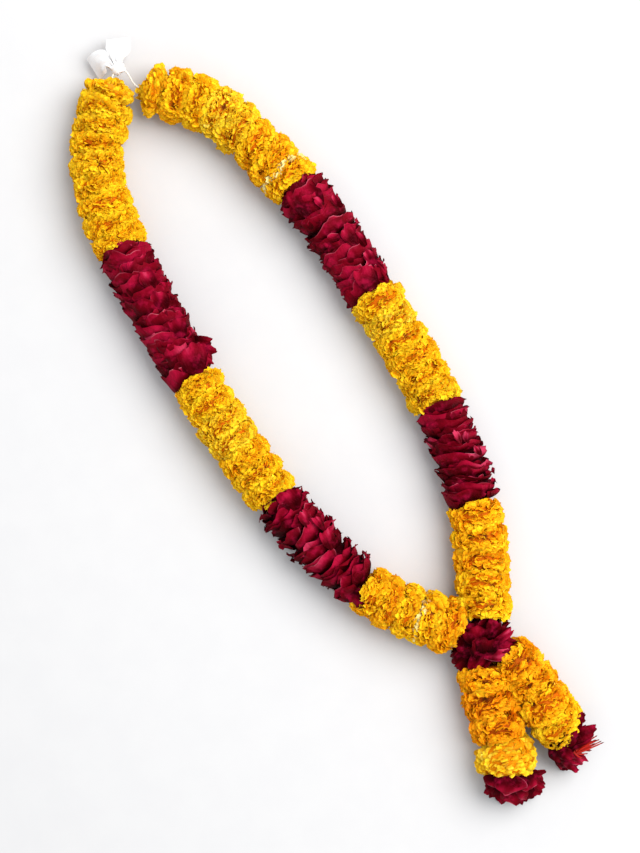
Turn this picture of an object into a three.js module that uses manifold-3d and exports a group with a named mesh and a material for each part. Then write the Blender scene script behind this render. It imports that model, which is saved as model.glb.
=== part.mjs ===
// Marigold and rose garland, laid out flat as a long closed loop.
// Two strands of threaded flowers run side by side from the neck, meet at one joining rose, and go on below
// it as two short tassels, each ending in a rose. One cotton string runs through every flower.
// Units are millimetres. The garland lies on the plane z = 0, +Y runs along it from the tassels to the neck,
// and +X goes across it.

import * as THREE from 'three';
import { mergeVertices } from 'three/addons/utils/BufferGeometryUtils.js';
import Module from 'manifold-3d';

// The string, and how high above the surface it runs through the flowers
const STRING_RADIUS = 1.0;
const STRING_SIDES = 5;
const HOLE_RADIUS = 1.6;
const STRING_HEIGHT = 21.5;

// Gap that each flower keeps to the plane it shares with its neighbour
const FACE_GAP = 0.2;

// Marigold heads: radius out to the floret tips, and how deep the dips between the florets are
const HEAD_RADIUS = 23.0;
const LAST_HEAD_RADIUS = 26.5;
const FLORET_DEPTH = 4.6;
const FACE_DEPTH = 1.2;
const HEAD_SIDES = 16;

// Where the tiers of florets and the edges of the two faces lie between the shared planes, as shares
const HEAD_TIERS = [0.13, 0.38, 0.62, 0.87];
const HEAD_FACES = [0.03, 0.97];

// How far florets stray round, along and out from their places, and heads from a square set and one size
const STRAY_ROUND = 0.16;
const STRAY_ALONG = 0.04;
const STRAY_OUT = 0.5;
const FACE_TILT = 0.09;
const RADIUS_SPREAD = 0.6;

// Florets that point down more steeply than this sine are pressed flat on the surface
const PRESSED_SINE = 0.86;

// How square the side profile of a head is: pressed between neighbours, or free and round
const PRESSED = 5;
const ROUND = 2.3;

// Rose stretches: radius at the petal rims and between the petals, and the petals in each tier
const ROSE_RADIUS = 24.5;
const ROSE_CORE = 17.5;
const PETALS = 5;
const ROSE_SIDES = 20;
const RIM_THICKNESS = 0.9;
const RIM_SPREAD = 0.8;

// The flowers on each string in order from the neck, with the length of string that each stretch takes
const LEFT_STRETCHES = [
  { name: 'left_marigold', kind: 'heads', count: 9, length: 153, openStart: true },
  { name: 'left_rose_upper', kind: 'roses', length: 131, tiers: 9, lean: 0.95, wave: 0.10, depth: 0.45 },
  { name: 'left_marigold', kind: 'heads', count: 7, length: 126 },
  { name: 'left_rose_lower', kind: 'roses', length: 109, tiers: 10, lean: 0.45, wave: 0.16, depth: 0.75 },
  { name: 'left_marigold', kind: 'heads', count: 5, length: 93 },
  { kind: 'joint', count: 2, length: 41 },
  { name: 'left_tassel_marigold', kind: 'heads', count: 3, length: 64 },
  { name: 'left_tassel_marigold', kind: 'heads', count: 1, length: 37, radius: LAST_HEAD_RADIUS },
  { name: 'left_end_rose', kind: 'end rose', length: 27, radius: 28 },
];
const RIGHT_STRETCHES = [
  { name: 'right_marigold', kind: 'heads', count: 8, length: 166, openStart: true },
  { name: 'right_rose_upper', kind: 'roses', length: 116, tiers: 8, lean: 0.90, wave: 0.14, depth: 0.50 },
  { name: 'right_marigold', kind: 'heads', count: 6, length: 112 },
  { name: 'right_rose_lower', kind: 'roses', length: 94, tiers: 9, lean: 0.40, wave: 0.28, depth: 0.45 },
  { name: 'right_marigold', kind: 'heads', count: 5, length: 101 },
  { kind: 'joint', count: 2, length: 39 },
  { name: 'right_tassel_marigold', kind: 'heads', count: 4, length: 88 },
  { name: 'right_end_rose', kind: 'end rose', length: 27, radius: 24 },
];

// The strings' routes seen from above, from the neck to the tassels' ends
const LEFT_ROUTE = [
  [-7, 362], [-26, 342], [-44, 324], [-56, 306], [-64, 285], [-71, 255], [-77, 194], [-79, 123], [-78, 52],
  [-73, -17], [-60, -87], [-37, -151], [-19, -177], [0, -200], [11, -218], [12, -235], [5, -256],
  [-3, -278], [-8, -301], [-15, -327], [-25, -351], [-39, -375],
];
const RIGHT_ROUTE = [
  [13, 342], [31, 328], [48, 308], [62, 287], [75, 240], [88, 180], [93, 116], [95, 45], [93, -27],
  [83, -95], [72, -131], [60, -158], [48, -180], [36, -203], [27, -220], [26, -236], [34, -257],
  [37, -276], [38, -297], [38, -320], [43, -338], [55, -353], [68, -366],
];
const NECK_BEND = [[-3, 366], [2, 369], [7, 367], [9, 360], [9, 350]];

// Upright planes that part flowers of the two strings where these touch: at the neck, above the joining
// rose, and between the tassels. Each has the lowest Y that it counts for, a point and the way across.
const DIVIDES = [
  { above: 300, point: [3, 346], across: [0.88, -0.47] },
  { above: -225, point: [18, -201], across: [1, -0.05] },
  { above: -Infinity, point: [17, -280], across: [0.993, -0.113] },
];

// The joining rose: its axis from the strands to the tassels, and its radius across and upward
const JOINT_START = [19, -208];
const JOINT_END = [19, -250];
const JOINT_RADIUS = 31;
const JOINT_HEIGHT_SHARE = 0.76;

// The ribbon tied round the string at the neck: its knot, and the middle line of each of its two tails
const RIBBON_WIDTH = 22;
const RIBBON_THICKNESS = 0.8;
const KNOT_CENTRE = [4, 369, 21.5];
const KNOT_SIZE = [8, 6.5, 6];
const RIBBON_TAILS = [
  [[2, 370, 22], [-3, 376, 24], [-9, 381, 20], [-16, 384, 11]],
  [[5, 371, 23], [9, 378, 26], [14, 385, 23], [18, 393, 14]],
];

// The filaments in the open end rose of the right tassel
const FILAMENT_COUNT = 7;
const FILAMENT_LENGTH = 20;
const FILAMENT_RADIUS = 0.7;

const UP = new THREE.Vector3(0, 0, 1);
const FLOOR = { point: new THREE.Vector3(0, 0, 0), normal: new THREE.Vector3(0, 0, -1) };

const wasm = await Module();
wasm.setup();

// A small seeded generator, so that every build draws the same flowers
function seededRandom(seed) {
  let state = seed;
  return () => {
    state = (state + 0x6d2b79f5) | 0;
    let mixed = Math.imul(state ^ (state >>> 15), 1 | state);
    mixed = (mixed + Math.imul(mixed ^ (mixed >>> 7), 61 | mixed)) ^ mixed;
    return ((mixed ^ (mixed >>> 14)) >>> 0) / 4294967296;
  };
}
const random = seededRandom(27);
const spread = (amount) => (random() * 2 - 1) * amount;

// The plane that a flower at a centre keeps clear of, for the string on one side (1) or the other (-1)
function divideBeside(centre, side) {
  const { point, across } = DIVIDES.find(({ above }) => centre.y > above);
  const normal = new THREE.Vector3(across[0] * side, across[1] * side, 0).normalize();
  return { point: new THREE.Vector3(point[0], point[1], 0).addScaledVector(normal, -FACE_GAP), normal };
}

function routeCurve(points) {
  const raised = points.map(([x, y]) => new THREE.Vector3(x, y, STRING_HEIGHT));
  const curve = new THREE.CatmullRomCurve3(raised, false, 'centripetal');
  curve.arcLengthDivisions = 1200;
  return curve;
}

// A cross plane of the string: its centre, the way along, and two axes in the plane. It is tilted a little.
function stationAt(curve, distance, tilt) {
  const share = Math.min(distance / curve.getLength(), 1);
  const along = curve.getTangentAt(share);
  along.applyAxisAngle(UP, spread(tilt));
  along.z = spread(tilt);
  along.normalize();
  const across = new THREE.Vector3().crossVectors(UP, along).normalize();
  const upward = new THREE.Vector3().crossVectors(along, across);
  return { centre: curve.getPointAt(share), along, across, upward };
}

// The point at an angle and radius round the string, between two cross planes, kept clear of all limits
function pointBetween(start, end, share, angle, wanted, limits, flatten = 1) {
  const centre = start.centre.clone().lerp(end.centre, share);
  const outward = new THREE.Vector3();
  for (const [station, weight] of [[start, 1 - share], [end, share]]) {
    outward.addScaledVector(station.across, Math.cos(angle) * weight);
    outward.addScaledVector(station.upward, Math.sin(angle) * weight * flatten);
  }
  let radius = wanted;
  for (const { point, normal } of limits) {
    const approach = outward.dot(normal);
    if (approach > 0.01) {
      radius = Math.min(radius, point.clone().sub(centre).dot(normal) / approach);
    }
  }
  return { point: centre.addScaledVector(outward, radius), radius };
}

// Triangles between two rings of points, folded along the dips where both have as many points
function joinRings(first, second, triangles) {
  let i = 0;
  let j = 0;
  while (i < first.length || j < second.length) {
    const a = first[i % first.length];
    const b = second[j % second.length];
    const nextA = first[(i + 1) % first.length];
    const nextB = second[(j + 1) % second.length];
    const ahead = (i + 1) / first.length - (j + 1) / second.length;
    const level = Math.abs(ahead) < 1e-9;
    const dipFirst = nextA.radius + b.radius < a.radius + nextB.radius;
    if (ahead < -1e-9 || (level && dipFirst)) {
      if (first.length > 1) triangles.push(a.point, nextA.point, b.point);
      i += 1;
    } else {
      if (second.length > 1) triangles.push(a.point, nextB.point, b.point);
      j += 1;
    }
  }
}

function geometryFrom(triangles) {
  const geometry = new THREE.BufferGeometry().setFromPoints(triangles);
  return mergeVertices(geometry, 1e-4);
}

// A closed skin over rings of points. A looped skin returns through the hole to its first ring.
function skinOver(rings, looped) {
  const triangles = [];
  for (let index = 0; index + 1 < rings.length; index += 1) {
    joinRings(rings[index], rings[index + 1], triangles);
  }
  if (looped) joinRings(rings[rings.length - 1], rings[0], triangles);
  return geometryFrom(triangles);
}

function holeRing(start, end, share, turn = 0) {
  return Array.from({ length: STRING_SIDES }, (_, side) => {
    const angle = turn + (side / STRING_SIDES) * 2 * Math.PI;
    return pointBetween(start, end, share, angle, HOLE_RADIUS, []);
  });
}

// One marigold head: tiers of florets whose tips and dips alternate, raised round the string's hole
function marigoldHead(start, end, radius, startPower, endPower, limits) {
  const length = start.centre.distanceTo(end.centre);
  const inset = FACE_GAP / length;
  const turn = random() * 2 * Math.PI;
  const floretRing = (tier, share, relief) => Array.from({ length: HEAD_SIDES }, (_, side) => {
    const isTip = (side + tier) % 2 === 0;
    const power = share < 0.5 ? startPower : endPower;
    const profile = (1 - Math.abs(2 * share - 1) ** power) ** (1 / power);
    const angle = turn + ((side + spread(STRAY_ROUND)) / HEAD_SIDES) * 2 * Math.PI;
    const pressed = Math.sin(angle) < -PRESSED_SINE;
    const dip = isTip || pressed ? 0 : relief;
    const place = THREE.MathUtils.clamp(share + spread(isTip ? STRAY_ALONG : 0), inset, 1 - inset);
    const wanted = radius * profile - dip + spread(STRAY_OUT);
    return pointBetween(start, end, place, angle, wanted, [FLOOR, ...limits]);
  });
  const rings = [
    holeRing(start, end, inset, turn),
    floretRing(0, HEAD_FACES[0], FACE_DEPTH),
    ...HEAD_TIERS.map((share, tier) => floretRing(tier, share, FLORET_DEPTH)),
    floretRing(0, HEAD_FACES[1], FACE_DEPTH),
    holeRing(start, end, 1 - inset, turn),
  ];
  return skinOver(rings, true);
}

// How far a tier of petals reaches at an angle: 1 at the middle of a petal, 0 between two petals
function petalLobe(angle, turn) {
  const place = (((angle - turn) / (2 * Math.PI)) * PETALS) % 1;
  return Math.sin(Math.PI * (place < 0 ? place + 1 : place)) ** 0.8;
}

// A plain ring of a rose at one radius, such as the root between two tiers of petals
function plainRing(place, { along, radius }, planes) {
  return Array.from({ length: ROSE_SIDES }, (_, side) => (
    place(along, (side / ROSE_SIDES) * 2 * Math.PI, radius, planes)
  ));
}

// The rim of a tier of petals. Between two petals it draws back from the rim towards their root.
function petalRing(place, root, rim, { turn, wave, depth }, planes) {
  return Array.from({ length: ROSE_SIDES }, (_, side) => {
    const angle = (side / ROSE_SIDES) * 2 * Math.PI;
    const reach = 1 - depth * (1 - petalLobe(angle, turn));
    const ripple = wave * Math.sin(3 * angle + turn * 5);
    const along = THREE.MathUtils.lerp(root.along, rim.along, reach) + ripple;
    return place(along, angle, THREE.MathUtils.lerp(root.radius, rim.radius, reach), planes);
  });
}

// A stretch of rose petals: tiers that lean towards the neck like roof tiles, on a core round the string
function roseStretch(stations, { tiers, lean, wave, depth }) {
  const edge = 0.02;
  const place = (along, angle, radius, planes) => {
    const within = THREE.MathUtils.clamp(along, edge, tiers - edge);
    const index = Math.min(Math.floor(within), tiers - 1);
    return pointBetween(stations[index], stations[index + 1], within - index, angle, radius, planes);
  };
  const thickness = RIM_THICKNESS / stations[0].centre.distanceTo(stations[1].centre);
  const rings = [holeRing(stations[tiers - 1], stations[tiers], 1 - edge)];
  for (let index = tiers - 1; index > 0; index -= 1) {
    rings.push(holeRing(stations[index], stations[index + 1], 0));
  }
  rings.push(holeRing(stations[0], stations[1], edge));
  for (let index = 0; index < tiers; index += 1) {
    const petals = { turn: random() * 2 * Math.PI, wave, depth };
    const root = { along: index + 0.06, radius: ROSE_CORE };
    const nextRoot = { along: index + 1.06, radius: ROSE_CORE };
    const rim = { along: index + 0.75 - lean, radius: ROSE_RADIUS + spread(RIM_SPREAD) };
    const back = { along: rim.along + thickness, radius: rim.radius + 0.1 };
    rings.push(plainRing(place, root, [FLOOR]));
    rings.push(petalRing(place, nextRoot, rim, petals, [FLOOR]));
    rings.push(petalRing(place, nextRoot, back, petals, [FLOOR]));
  }
  rings.push(plainRing(place, { along: tiers, radius: ROSE_CORE - 2 }, [FLOOR]));
  return skinOver(rings, true);
}

// The string as a tube through the given points, one straight length from each to the next
class StringPath extends THREE.Curve {
  constructor(points) {
    super();
    this.points = points;
  }

  getPointAt(share, target = new THREE.Vector3()) {
    const place = share * (this.points.length - 1);
    const index = Math.min(Math.floor(place), this.points.length - 2);
    return target.copy(this.points[index]).lerp(this.points[index + 1], place - index);
  }

  getTangentAt(share, target = new THREE.Vector3()) {
    const index = Math.round(share * (this.points.length - 1));
    const before = this.points[Math.max(index - 1, 0)];
    const after = this.points[Math.min(index + 1, this.points.length - 1)];
    return target.subVectors(after, before).normalize();
  }
}

function stringTube(points, radius) {
  const section = new THREE.Shape();
  for (let side = 0; side < STRING_SIDES; side += 1) {
    const angle = (side / STRING_SIDES) * 2 * Math.PI;
    const corner = [Math.cos(angle) * radius, Math.sin(angle) * radius];
    if (side === 0) section.moveTo(...corner);
    else section.lineTo(...corner);
  }
  return new THREE.ExtrudeGeometry(section, {
    extrudePath: new StringPath(points), steps: points.length - 1, curveSegments: 1, bevelEnabled: false,
  });
}

// The second point moved on from the first, so that a bored hole is a little longer than the string in it
function beyond(inner, tip) {
  return tip.clone().addScaledVector(tip.clone().sub(inner).normalize(), 2 * FACE_GAP);
}

// Conversion between a geometry and a solid that can be joined and cut
function solidFrom(geometry) {
  const bare = geometry.clone();
  bare.deleteAttribute('normal');
  bare.deleteAttribute('uv');
  const merged = mergeVertices(bare, 1e-3);
  const vertProperties = Float32Array.from(merged.attributes.position.array);
  const triVerts = Uint32Array.from(merged.index.array);
  return new wasm.Manifold(new wasm.Mesh({ numProp: 3, vertProperties, triVerts }));
}

function geometryOf(solid) {
  const { vertProperties, triVerts } = solid.getMesh();
  const geometry = new THREE.BufferGeometry();
  geometry.setAttribute('position', new THREE.BufferAttribute(vertProperties, 3));
  geometry.setIndex(new THREE.BufferAttribute(triVerts, 1));
  return geometry;
}

const MATERIALS = {
  marigold: new THREE.MeshStandardMaterial({ color: 0xf2a40a, roughness: 0.85, metalness: 0 }),
  rose: new THREE.MeshStandardMaterial({ color: 0x7d0f24, roughness: 0.6, metalness: 0 }),
  filament: new THREE.MeshStandardMaterial({ color: 0xd8231c, roughness: 0.6, metalness: 0 }),
  string: new THREE.MeshStandardMaterial({ color: 0xf0ead8, roughness: 0.95, metalness: 0 }),
  ribbon: new THREE.MeshStandardMaterial({ color: 0xf7f6f4, roughness: 0.5, metalness: 0 }),
};

const garland = new THREE.Group();

function addPiece(name, geometry, material) {
  geometry.computeVertexNormals();
  const mesh = new THREE.Mesh(geometry, material);
  mesh.name = name;
  garland.add(mesh);
}

// A rose with no hole of its own: tiers of petals between two points on its axis, bored for the strings
function wholeRose(place, tiers, last, planes) {
  const rings = [[place(0, 0, 0, [])]];
  for (const { root, rim, back } of tiers) {
    const petals = { turn: random() * 2 * Math.PI, wave: 0.04, depth: 0.42 };
    rings.push(plainRing(place, root, planes));
    rings.push(petalRing(place, root, rim, petals, planes));
    rings.push(petalRing(place, root, back, petals, planes));
  }
  rings.push(plainRing(place, last.ring, planes));
  rings.push([place(last.pole, 0, 0, [])]);
  return solidFrom(skinOver(rings, false));
}

// A tassel's end rose: nested tiers of petals that open away from the string like a cup. A tier's root and
// rim lie at shares of the rose's length.
function endRose(start, end, radius) {
  const place = (along, angle, wanted, planes) => pointBetween(start, end, along, angle, wanted, planes);
  const tier = (rootAlong, rootRadius, rimAlong, rimRadius) => ({
    root: { along: rootAlong, radius: rootRadius },
    rim: { along: rimAlong, radius: rimRadius },
    back: { along: rimAlong + 0.06, radius: rimRadius - 0.6 },
  });
  const tiers = [
    tier(0.04, 10, 0.55, radius),
    tier(0.42, 13, 0.86, radius * 0.86),
    tier(0.62, 9, 1.00, radius * 0.56),
  ];
  return wholeRose(place, tiers, { ring: { along: 0.72, radius: 5 }, pole: 0.70 }, [FLOOR]);
}

// The joining rose: tiers of petals lying across both strings, wider than it is high
function joiningRose(limits) {
  const at = ([x, y]) => new THREE.Vector3(x, y, STRING_HEIGHT);
  const along = at(JOINT_END).sub(at(JOINT_START)).normalize();
  const across = new THREE.Vector3().crossVectors(UP, along);
  const start = { centre: at(JOINT_START), along, across, upward: UP };
  const end = { centre: at(JOINT_END), along, across, upward: UP };
  const place = (share, angle, wanted, planes) => (
    pointBetween(start, end, share, angle, wanted, planes, JOINT_HEIGHT_SHARE)
  );
  const tiers = [0.05, 0.34, 0.60].map((root, index) => {
    const rim = JOINT_RADIUS * [0.94, 1.0, 0.96][index];
    return {
      root: { along: root, radius: index === 0 ? 14 : 20 },
      rim: { along: root + 0.16, radius: rim },
      back: { along: root + 0.19, radius: rim - 0.4 },
    };
  });
  return wholeRose(place, tiers, { ring: { along: 0.90, radius: 20 }, pole: 1 }, [FLOOR, ...limits]);
}

// A flat strip of ribbon with square ends along a middle line, tilted neither way across
function ribbonTail(points) {
  const curve = new THREE.CatmullRomCurve3(points.map((point) => new THREE.Vector3(...point)));
  const steps = 4;
  const rings = [];
  for (let step = 0; step <= steps; step += 1) {
    const centre = curve.getPointAt(step / steps);
    const along = curve.getTangentAt(step / steps);
    const across = new THREE.Vector3().crossVectors(UP, along).normalize();
    const upward = new THREE.Vector3().crossVectors(along, across);
    const width = RIBBON_WIDTH * Math.min(0.45 + step * 0.25, 1);
    rings.push([[1, 1], [-1, 1], [-1, -1], [1, -1]].map(([sideways, vertical]) => ({
      point: centre.clone()
        .addScaledVector(across, (sideways * width) / 2)
        .addScaledVector(upward, (vertical * RIBBON_THICKNESS) / 2),
      radius: 0,
    })));
  }
  const first = { point: curve.getPointAt(0), radius: 0 };
  const last = { point: curve.getPointAt(1), radius: 0 };
  return solidFrom(skinOver([[first], ...rings, [last]], false));
}

function neckRibbon() {
  const knot = new THREE.SphereGeometry(1, 8, 4);
  knot.scale(...KNOT_SIZE);
  knot.translate(...KNOT_CENTRE);
  return RIBBON_TAILS.reduce((joined, tail) => joined.add(ribbonTail(tail)), solidFrom(knot));
}

// Slim pointed filaments that fan out of a small button in the cup of an end rose
function filaments(start, end) {
  const along = end.centre.clone().sub(start.centre);
  const length = along.length();
  along.normalize();
  const root = start.centre.clone().addScaledVector(along, length * 0.70 + 2.2);
  const button = new THREE.SphereGeometry(1.7, 6, 4);
  button.translate(root.x, root.y, root.z);
  let joined = solidFrom(button);
  for (let index = 0; index < FILAMENT_COUNT; index += 1) {
    const turn = (index / FILAMENT_COUNT) * 2 * Math.PI + spread(0.3);
    const lean = 0.12 + random() * 0.33;
    const direction = along.clone().multiplyScalar(Math.cos(lean))
      .addScaledVector(start.across, Math.sin(lean) * Math.cos(turn))
      .addScaledVector(UP, Math.sin(lean) * Math.sin(turn))
      .normalize();
    const reach = FILAMENT_LENGTH * (0.75 + random() * 0.35);
    const needle = new THREE.CylinderGeometry(FILAMENT_RADIUS * 0.6, FILAMENT_RADIUS, reach, 3);
    needle.translate(0, reach / 2, 0);
    needle.applyQuaternion(new THREE.Quaternion().setFromUnitVectors(new THREE.Vector3(0, 1, 0), direction));
    needle.translate(root.x, root.y, root.z);
    joined = joined.add(solidFrom(needle));
  }
  return joined;
}

// A stretch of marigold heads, one between each two neighbouring stations, numbered on along the string
function addHeads(stretch, stations, numbers, side) {
  for (let index = 0; index + 1 < stations.length; index += 1) {
    const [start, end] = [stations[index], stations[index + 1]];
    const radius = (stretch.radius ?? HEAD_RADIUS) + spread(RADIUS_SPREAD);
    const startPower = stretch.radius || (stretch.openStart && index === 0) ? ROUND : PRESSED;
    const endPower = stretch.radius ? ROUND : PRESSED;
    const limits = [divideBeside(start.centre, side)];
    numbers[stretch.name] = (numbers[stretch.name] ?? 0) + 1;
    const name = `${stretch.name}_${String(numbers[stretch.name]).padStart(2, '0')}`;
    addPiece(name, marigoldHead(start, end, radius, startPower, endPower, limits), MATERIALS.marigold);
  }
}

// All flowers on one string. Returns the string's points, the planes on both sides of the joining rose, and
// the stations of the end rose.
function threadString(stretches, route, side) {
  const curve = routeCurve(route);
  const numbers = {};
  let distance = 0;
  let station = stationAt(curve, 0, 0);
  const points = [station.centre];
  const threaded = { points };
  for (const stretch of stretches) {
    const steps = stretch.count ?? stretch.tiers ?? 1;
    const stations = [station];
    for (let step = 1; step <= steps; step += 1) {
      distance += stretch.length / steps;
      const tilted = stretch.kind === 'heads' && step < steps;
      stations.push(stationAt(curve, distance, tilted ? FACE_TILT : 0));
      points.push(stations[step].centre);
    }
    const start = station;
    station = stations[steps];
    if (stretch.kind === 'heads') addHeads(stretch, stations, numbers, side);
    if (stretch.kind === 'roses') addPiece(stretch.name, roseStretch(stations, stretch), MATERIALS.rose);
    if (stretch.kind === 'joint') {
      threaded.jointPlanes = [
        { point: start.centre, normal: start.along.clone().negate() },
        { point: station.centre, normal: station.along.clone() },
      ];
    }
    if (stretch.kind === 'end rose') threaded.endRose = { stretch, start, end: station };
  }
  const tip = points.pop();
  points.push(points[points.length - 1].clone().lerp(tip, 0.5));
  return threaded;
}

const left = threadString(LEFT_STRETCHES, LEFT_ROUTE, 1);
const right = threadString(RIGHT_STRETCHES, RIGHT_ROUTE, -1);

const neckPoints = NECK_BEND.map(([x, y]) => new THREE.Vector3(x, y, STRING_HEIGHT));
const stringPoints = [...left.points.slice().reverse(), ...neckPoints, ...right.points];
const channelPoints = [
  beyond(stringPoints[1], stringPoints[0]),
  ...stringPoints.slice(1, -1),
  beyond(stringPoints[stringPoints.length - 2], stringPoints[stringPoints.length - 1]),
];
const channel = solidFrom(stringTube(channelPoints, HOLE_RADIUS));
addPiece('string', stringTube(stringPoints, STRING_RADIUS), MATERIALS.string);

const joint = joiningRose([...left.jointPlanes, ...right.jointPlanes]);
addPiece('joining_rose', geometryOf(joint.subtract(channel)), MATERIALS.rose);
for (const { stretch, start, end } of [left.endRose, right.endRose]) {
  const rose = endRose(start, end, stretch.radius);
  addPiece(stretch.name, geometryOf(rose.subtract(channel)), MATERIALS.rose);
}
const { start: openStart, end: openEnd } = right.endRose;
addPiece('end_rose_filaments', geometryOf(filaments(openStart, openEnd)), MATERIALS.filament);
addPiece('neck_ribbon', geometryOf(neckRibbon().subtract(channel)), MATERIALS.ribbon);

// The origin is at the bottom centre of the whole garland
const box = new THREE.Box3().setFromObject(garland);
const middle = box.getCenter(new THREE.Vector3());
garland.position.set(-middle.x, -middle.y, 0);

export default garland;
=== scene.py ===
"""Marigold and rose garland, laid flat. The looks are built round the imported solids, in the same frame.

The garland's lengths are in millimetres. Those of its materials, the floor, the light and the camera are in
metres. Each string's route and the lengths of its stretches are those that the solids follow, so each finer
flower lies where its solid lies.
"""

import math
from types import SimpleNamespace

import bpy
import numpy as np
from mathutils import Matrix, Vector


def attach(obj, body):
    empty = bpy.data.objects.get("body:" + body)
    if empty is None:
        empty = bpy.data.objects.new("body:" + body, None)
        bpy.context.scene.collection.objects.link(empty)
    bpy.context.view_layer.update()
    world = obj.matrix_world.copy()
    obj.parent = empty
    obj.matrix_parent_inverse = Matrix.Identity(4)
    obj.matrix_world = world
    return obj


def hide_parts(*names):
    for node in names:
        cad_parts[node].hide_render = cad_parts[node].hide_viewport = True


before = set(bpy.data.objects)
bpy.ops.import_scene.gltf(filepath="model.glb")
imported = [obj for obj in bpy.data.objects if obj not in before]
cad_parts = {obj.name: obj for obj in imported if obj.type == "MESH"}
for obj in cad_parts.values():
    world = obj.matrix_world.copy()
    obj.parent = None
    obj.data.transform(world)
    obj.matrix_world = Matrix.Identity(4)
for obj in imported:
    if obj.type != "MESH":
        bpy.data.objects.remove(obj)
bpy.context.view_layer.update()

MM = 0.001
FULL_TURN = 2 * math.pi
UP = np.array([0.0, 0.0, 1.0])

# The solids' drawing is shifted by this to the row frame
SHIFT = np.array([-7.7353, -10.1119, 0.0])

# How high the string runs above the surface, and how close to the surface the lowest petals lie
STRING_HEIGHT = 21.5
FLOOR_GAP = 0.35

# How far the flowers reach out from the string
HEAD_RADIUS = 24.0
LAST_HEAD_RADIUS = 26.8
ROSE_RADIUS = 24.8

# The flowers on each string in order from the neck, with the length of string that each stretch takes
LEFT_STRETCHES = [
    ("left_marigold", "heads", 9, 153),
    ("left_rose_upper", "roses", 1, 131),
    ("left_marigold", "heads", 7, 126),
    ("left_rose_lower", "roses", 1, 109),
    ("left_marigold", "heads", 5, 93),
    ("joint", "joint", 2, 41),
    ("left_tassel_marigold", "heads", 3, 64),
    ("left_tassel_marigold", "last head", 1, 37),
    ("left_end_rose", "end rose", 1, 27),
]
RIGHT_STRETCHES = [
    ("right_marigold", "heads", 8, 166),
    ("right_rose_upper", "roses", 1, 116),
    ("right_marigold", "heads", 6, 112),
    ("right_rose_lower", "roses", 1, 94),
    ("right_marigold", "heads", 5, 101),
    ("joint", "joint", 2, 39),
    ("right_tassel_marigold", "heads", 4, 88),
    ("right_end_rose", "end rose", 1, 27),
]

# The strings' routes seen from above, from the neck to the tassels' ends
LEFT_ROUTE = [
    (-7, 362), (-26, 342), (-44, 324), (-56, 306), (-64, 285), (-71, 255), (-77, 194), (-79, 123), (-78, 52),
    (-73, -17), (-60, -87), (-37, -151), (-19, -177), (0, -200), (11, -218), (12, -235), (5, -256),
    (-3, -278), (-8, -301), (-15, -327), (-25, -351), (-39, -375),
]
RIGHT_ROUTE = [
    (13, 342), (31, 328), (48, 308), (62, 287), (75, 240), (88, 180), (93, 116), (95, 45), (93, -27),
    (83, -95), (72, -131), (60, -158), (48, -180), (36, -203), (27, -220), (26, -236), (34, -257),
    (37, -276), (38, -297), (38, -320), (43, -338), (55, -353), (68, -366),
]
NECK_BEND = [(-3, 366), (2, 369), (7, 367), (9, 360), (9, 350)]

# Upright planes that part flowers of the two strings where these touch: the lowest Y that each counts for,
# a point on it and the way across it
DIVIDES = [
    (300, (3, 346), (0.88, -0.47)),
    (-225, (18, -201), (1, -0.05)),
    (-1e9, (17, -280), (0.993, -0.113)),
]


# Lines and planes

def unit(vectors):
    return vectors / np.maximum(np.linalg.norm(vectors, axis=-1, keepdims=True), 1e-12)


def smooth_step(low, high, x):
    t = np.clip((x - low) / (high - low), 0.0, 1.0)
    return t * t * (3 - 2 * t)


def circle(count):
    """Angles evenly round a full turn."""
    return np.linspace(0, FULL_TURN, count, endpoint=False)


def outward(turn, across, upward):
    """The way out from a middle line at angles round it."""
    return np.cos(turn)[..., None] * across + np.sin(turn)[..., None] * upward


def rings(centre, radii, across, upward, sides):
    """Rings of points, one round each centre."""
    return centre[:, None] + radii[:, None, None] * outward(circle(sides), across[:, None], upward[:, None])


def in_row_frame(points):
    return np.array(points, float) + SHIFT


def curve_through(points, steps, power=0.0):
    """A smooth line through points in space, in some steps from each to the next. With power 0 it is the
    uniform curve, and with 0.5 the centripetal one, which the strings' routes in the solids follow."""
    p = np.vstack([2 * points[0] - points[1], points, 2 * points[-1] - points[-2]])
    t = np.linspace(0, 1, steps, endpoint=False)[:, None]
    line = []
    for p0, p1, p2, p3 in zip(p, p[1:], p[2:], p[3:]):
        d0, d1, d2 = (np.linalg.norm(b - a) ** power for a, b in ((p0, p1), (p1, p2), (p2, p3)))
        first = ((p1 - p0) / d0 - (p2 - p0) / (d0 + d1) + (p2 - p1) / d1) * d1
        last = ((p2 - p1) / d1 - (p3 - p1) / (d1 + d2) + (p3 - p2) / d2) * d1
        cubic = 2 * p1 - 2 * p2 + first + last
        square = -3 * p1 + 3 * p2 - 2 * first - last
        line.append(p1 + t * first + t ** 2 * square + t ** 3 * cubic)
    return np.vstack([*line, points[-1]])


class CrossPlane:
    """The plane across a line at one place, or the planes at several."""

    def __init__(self, centre, along):
        self.centre = centre
        self.along = unit(along)
        self.across = unit(np.cross(UP, self.along))
        self.upward = np.cross(self.along, self.across)

    def parts(self):
        return self.centre, self.along, self.across, self.upward


class Line:
    """A line through points close together, by distance from its first point."""

    # The way along is taken between two places this far before and after
    REACH = 0.8

    def __init__(self, points):
        self.points = points
        self.run = np.concatenate([[0], np.cumsum(np.linalg.norm(np.diff(points, axis=0), axis=1))])
        self.length = self.run[-1]

    def at(self, distance):
        return np.stack([np.interp(distance, self.run, self.points[:, k]) for k in range(3)], axis=-1)

    def plane(self, distance):
        """The plane across the line at a distance, or the planes at several."""
        return CrossPlane(self.at(distance), self.at(distance + self.REACH) - self.at(distance - self.REACH))


def corners_of(node):
    """A CAD node's vertices, in the row frame."""
    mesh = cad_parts[node].data
    co = np.empty(len(mesh.vertices) * 3)
    mesh.vertices.foreach_get("co", co)
    return co.reshape(-1, 3) / MM


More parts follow.
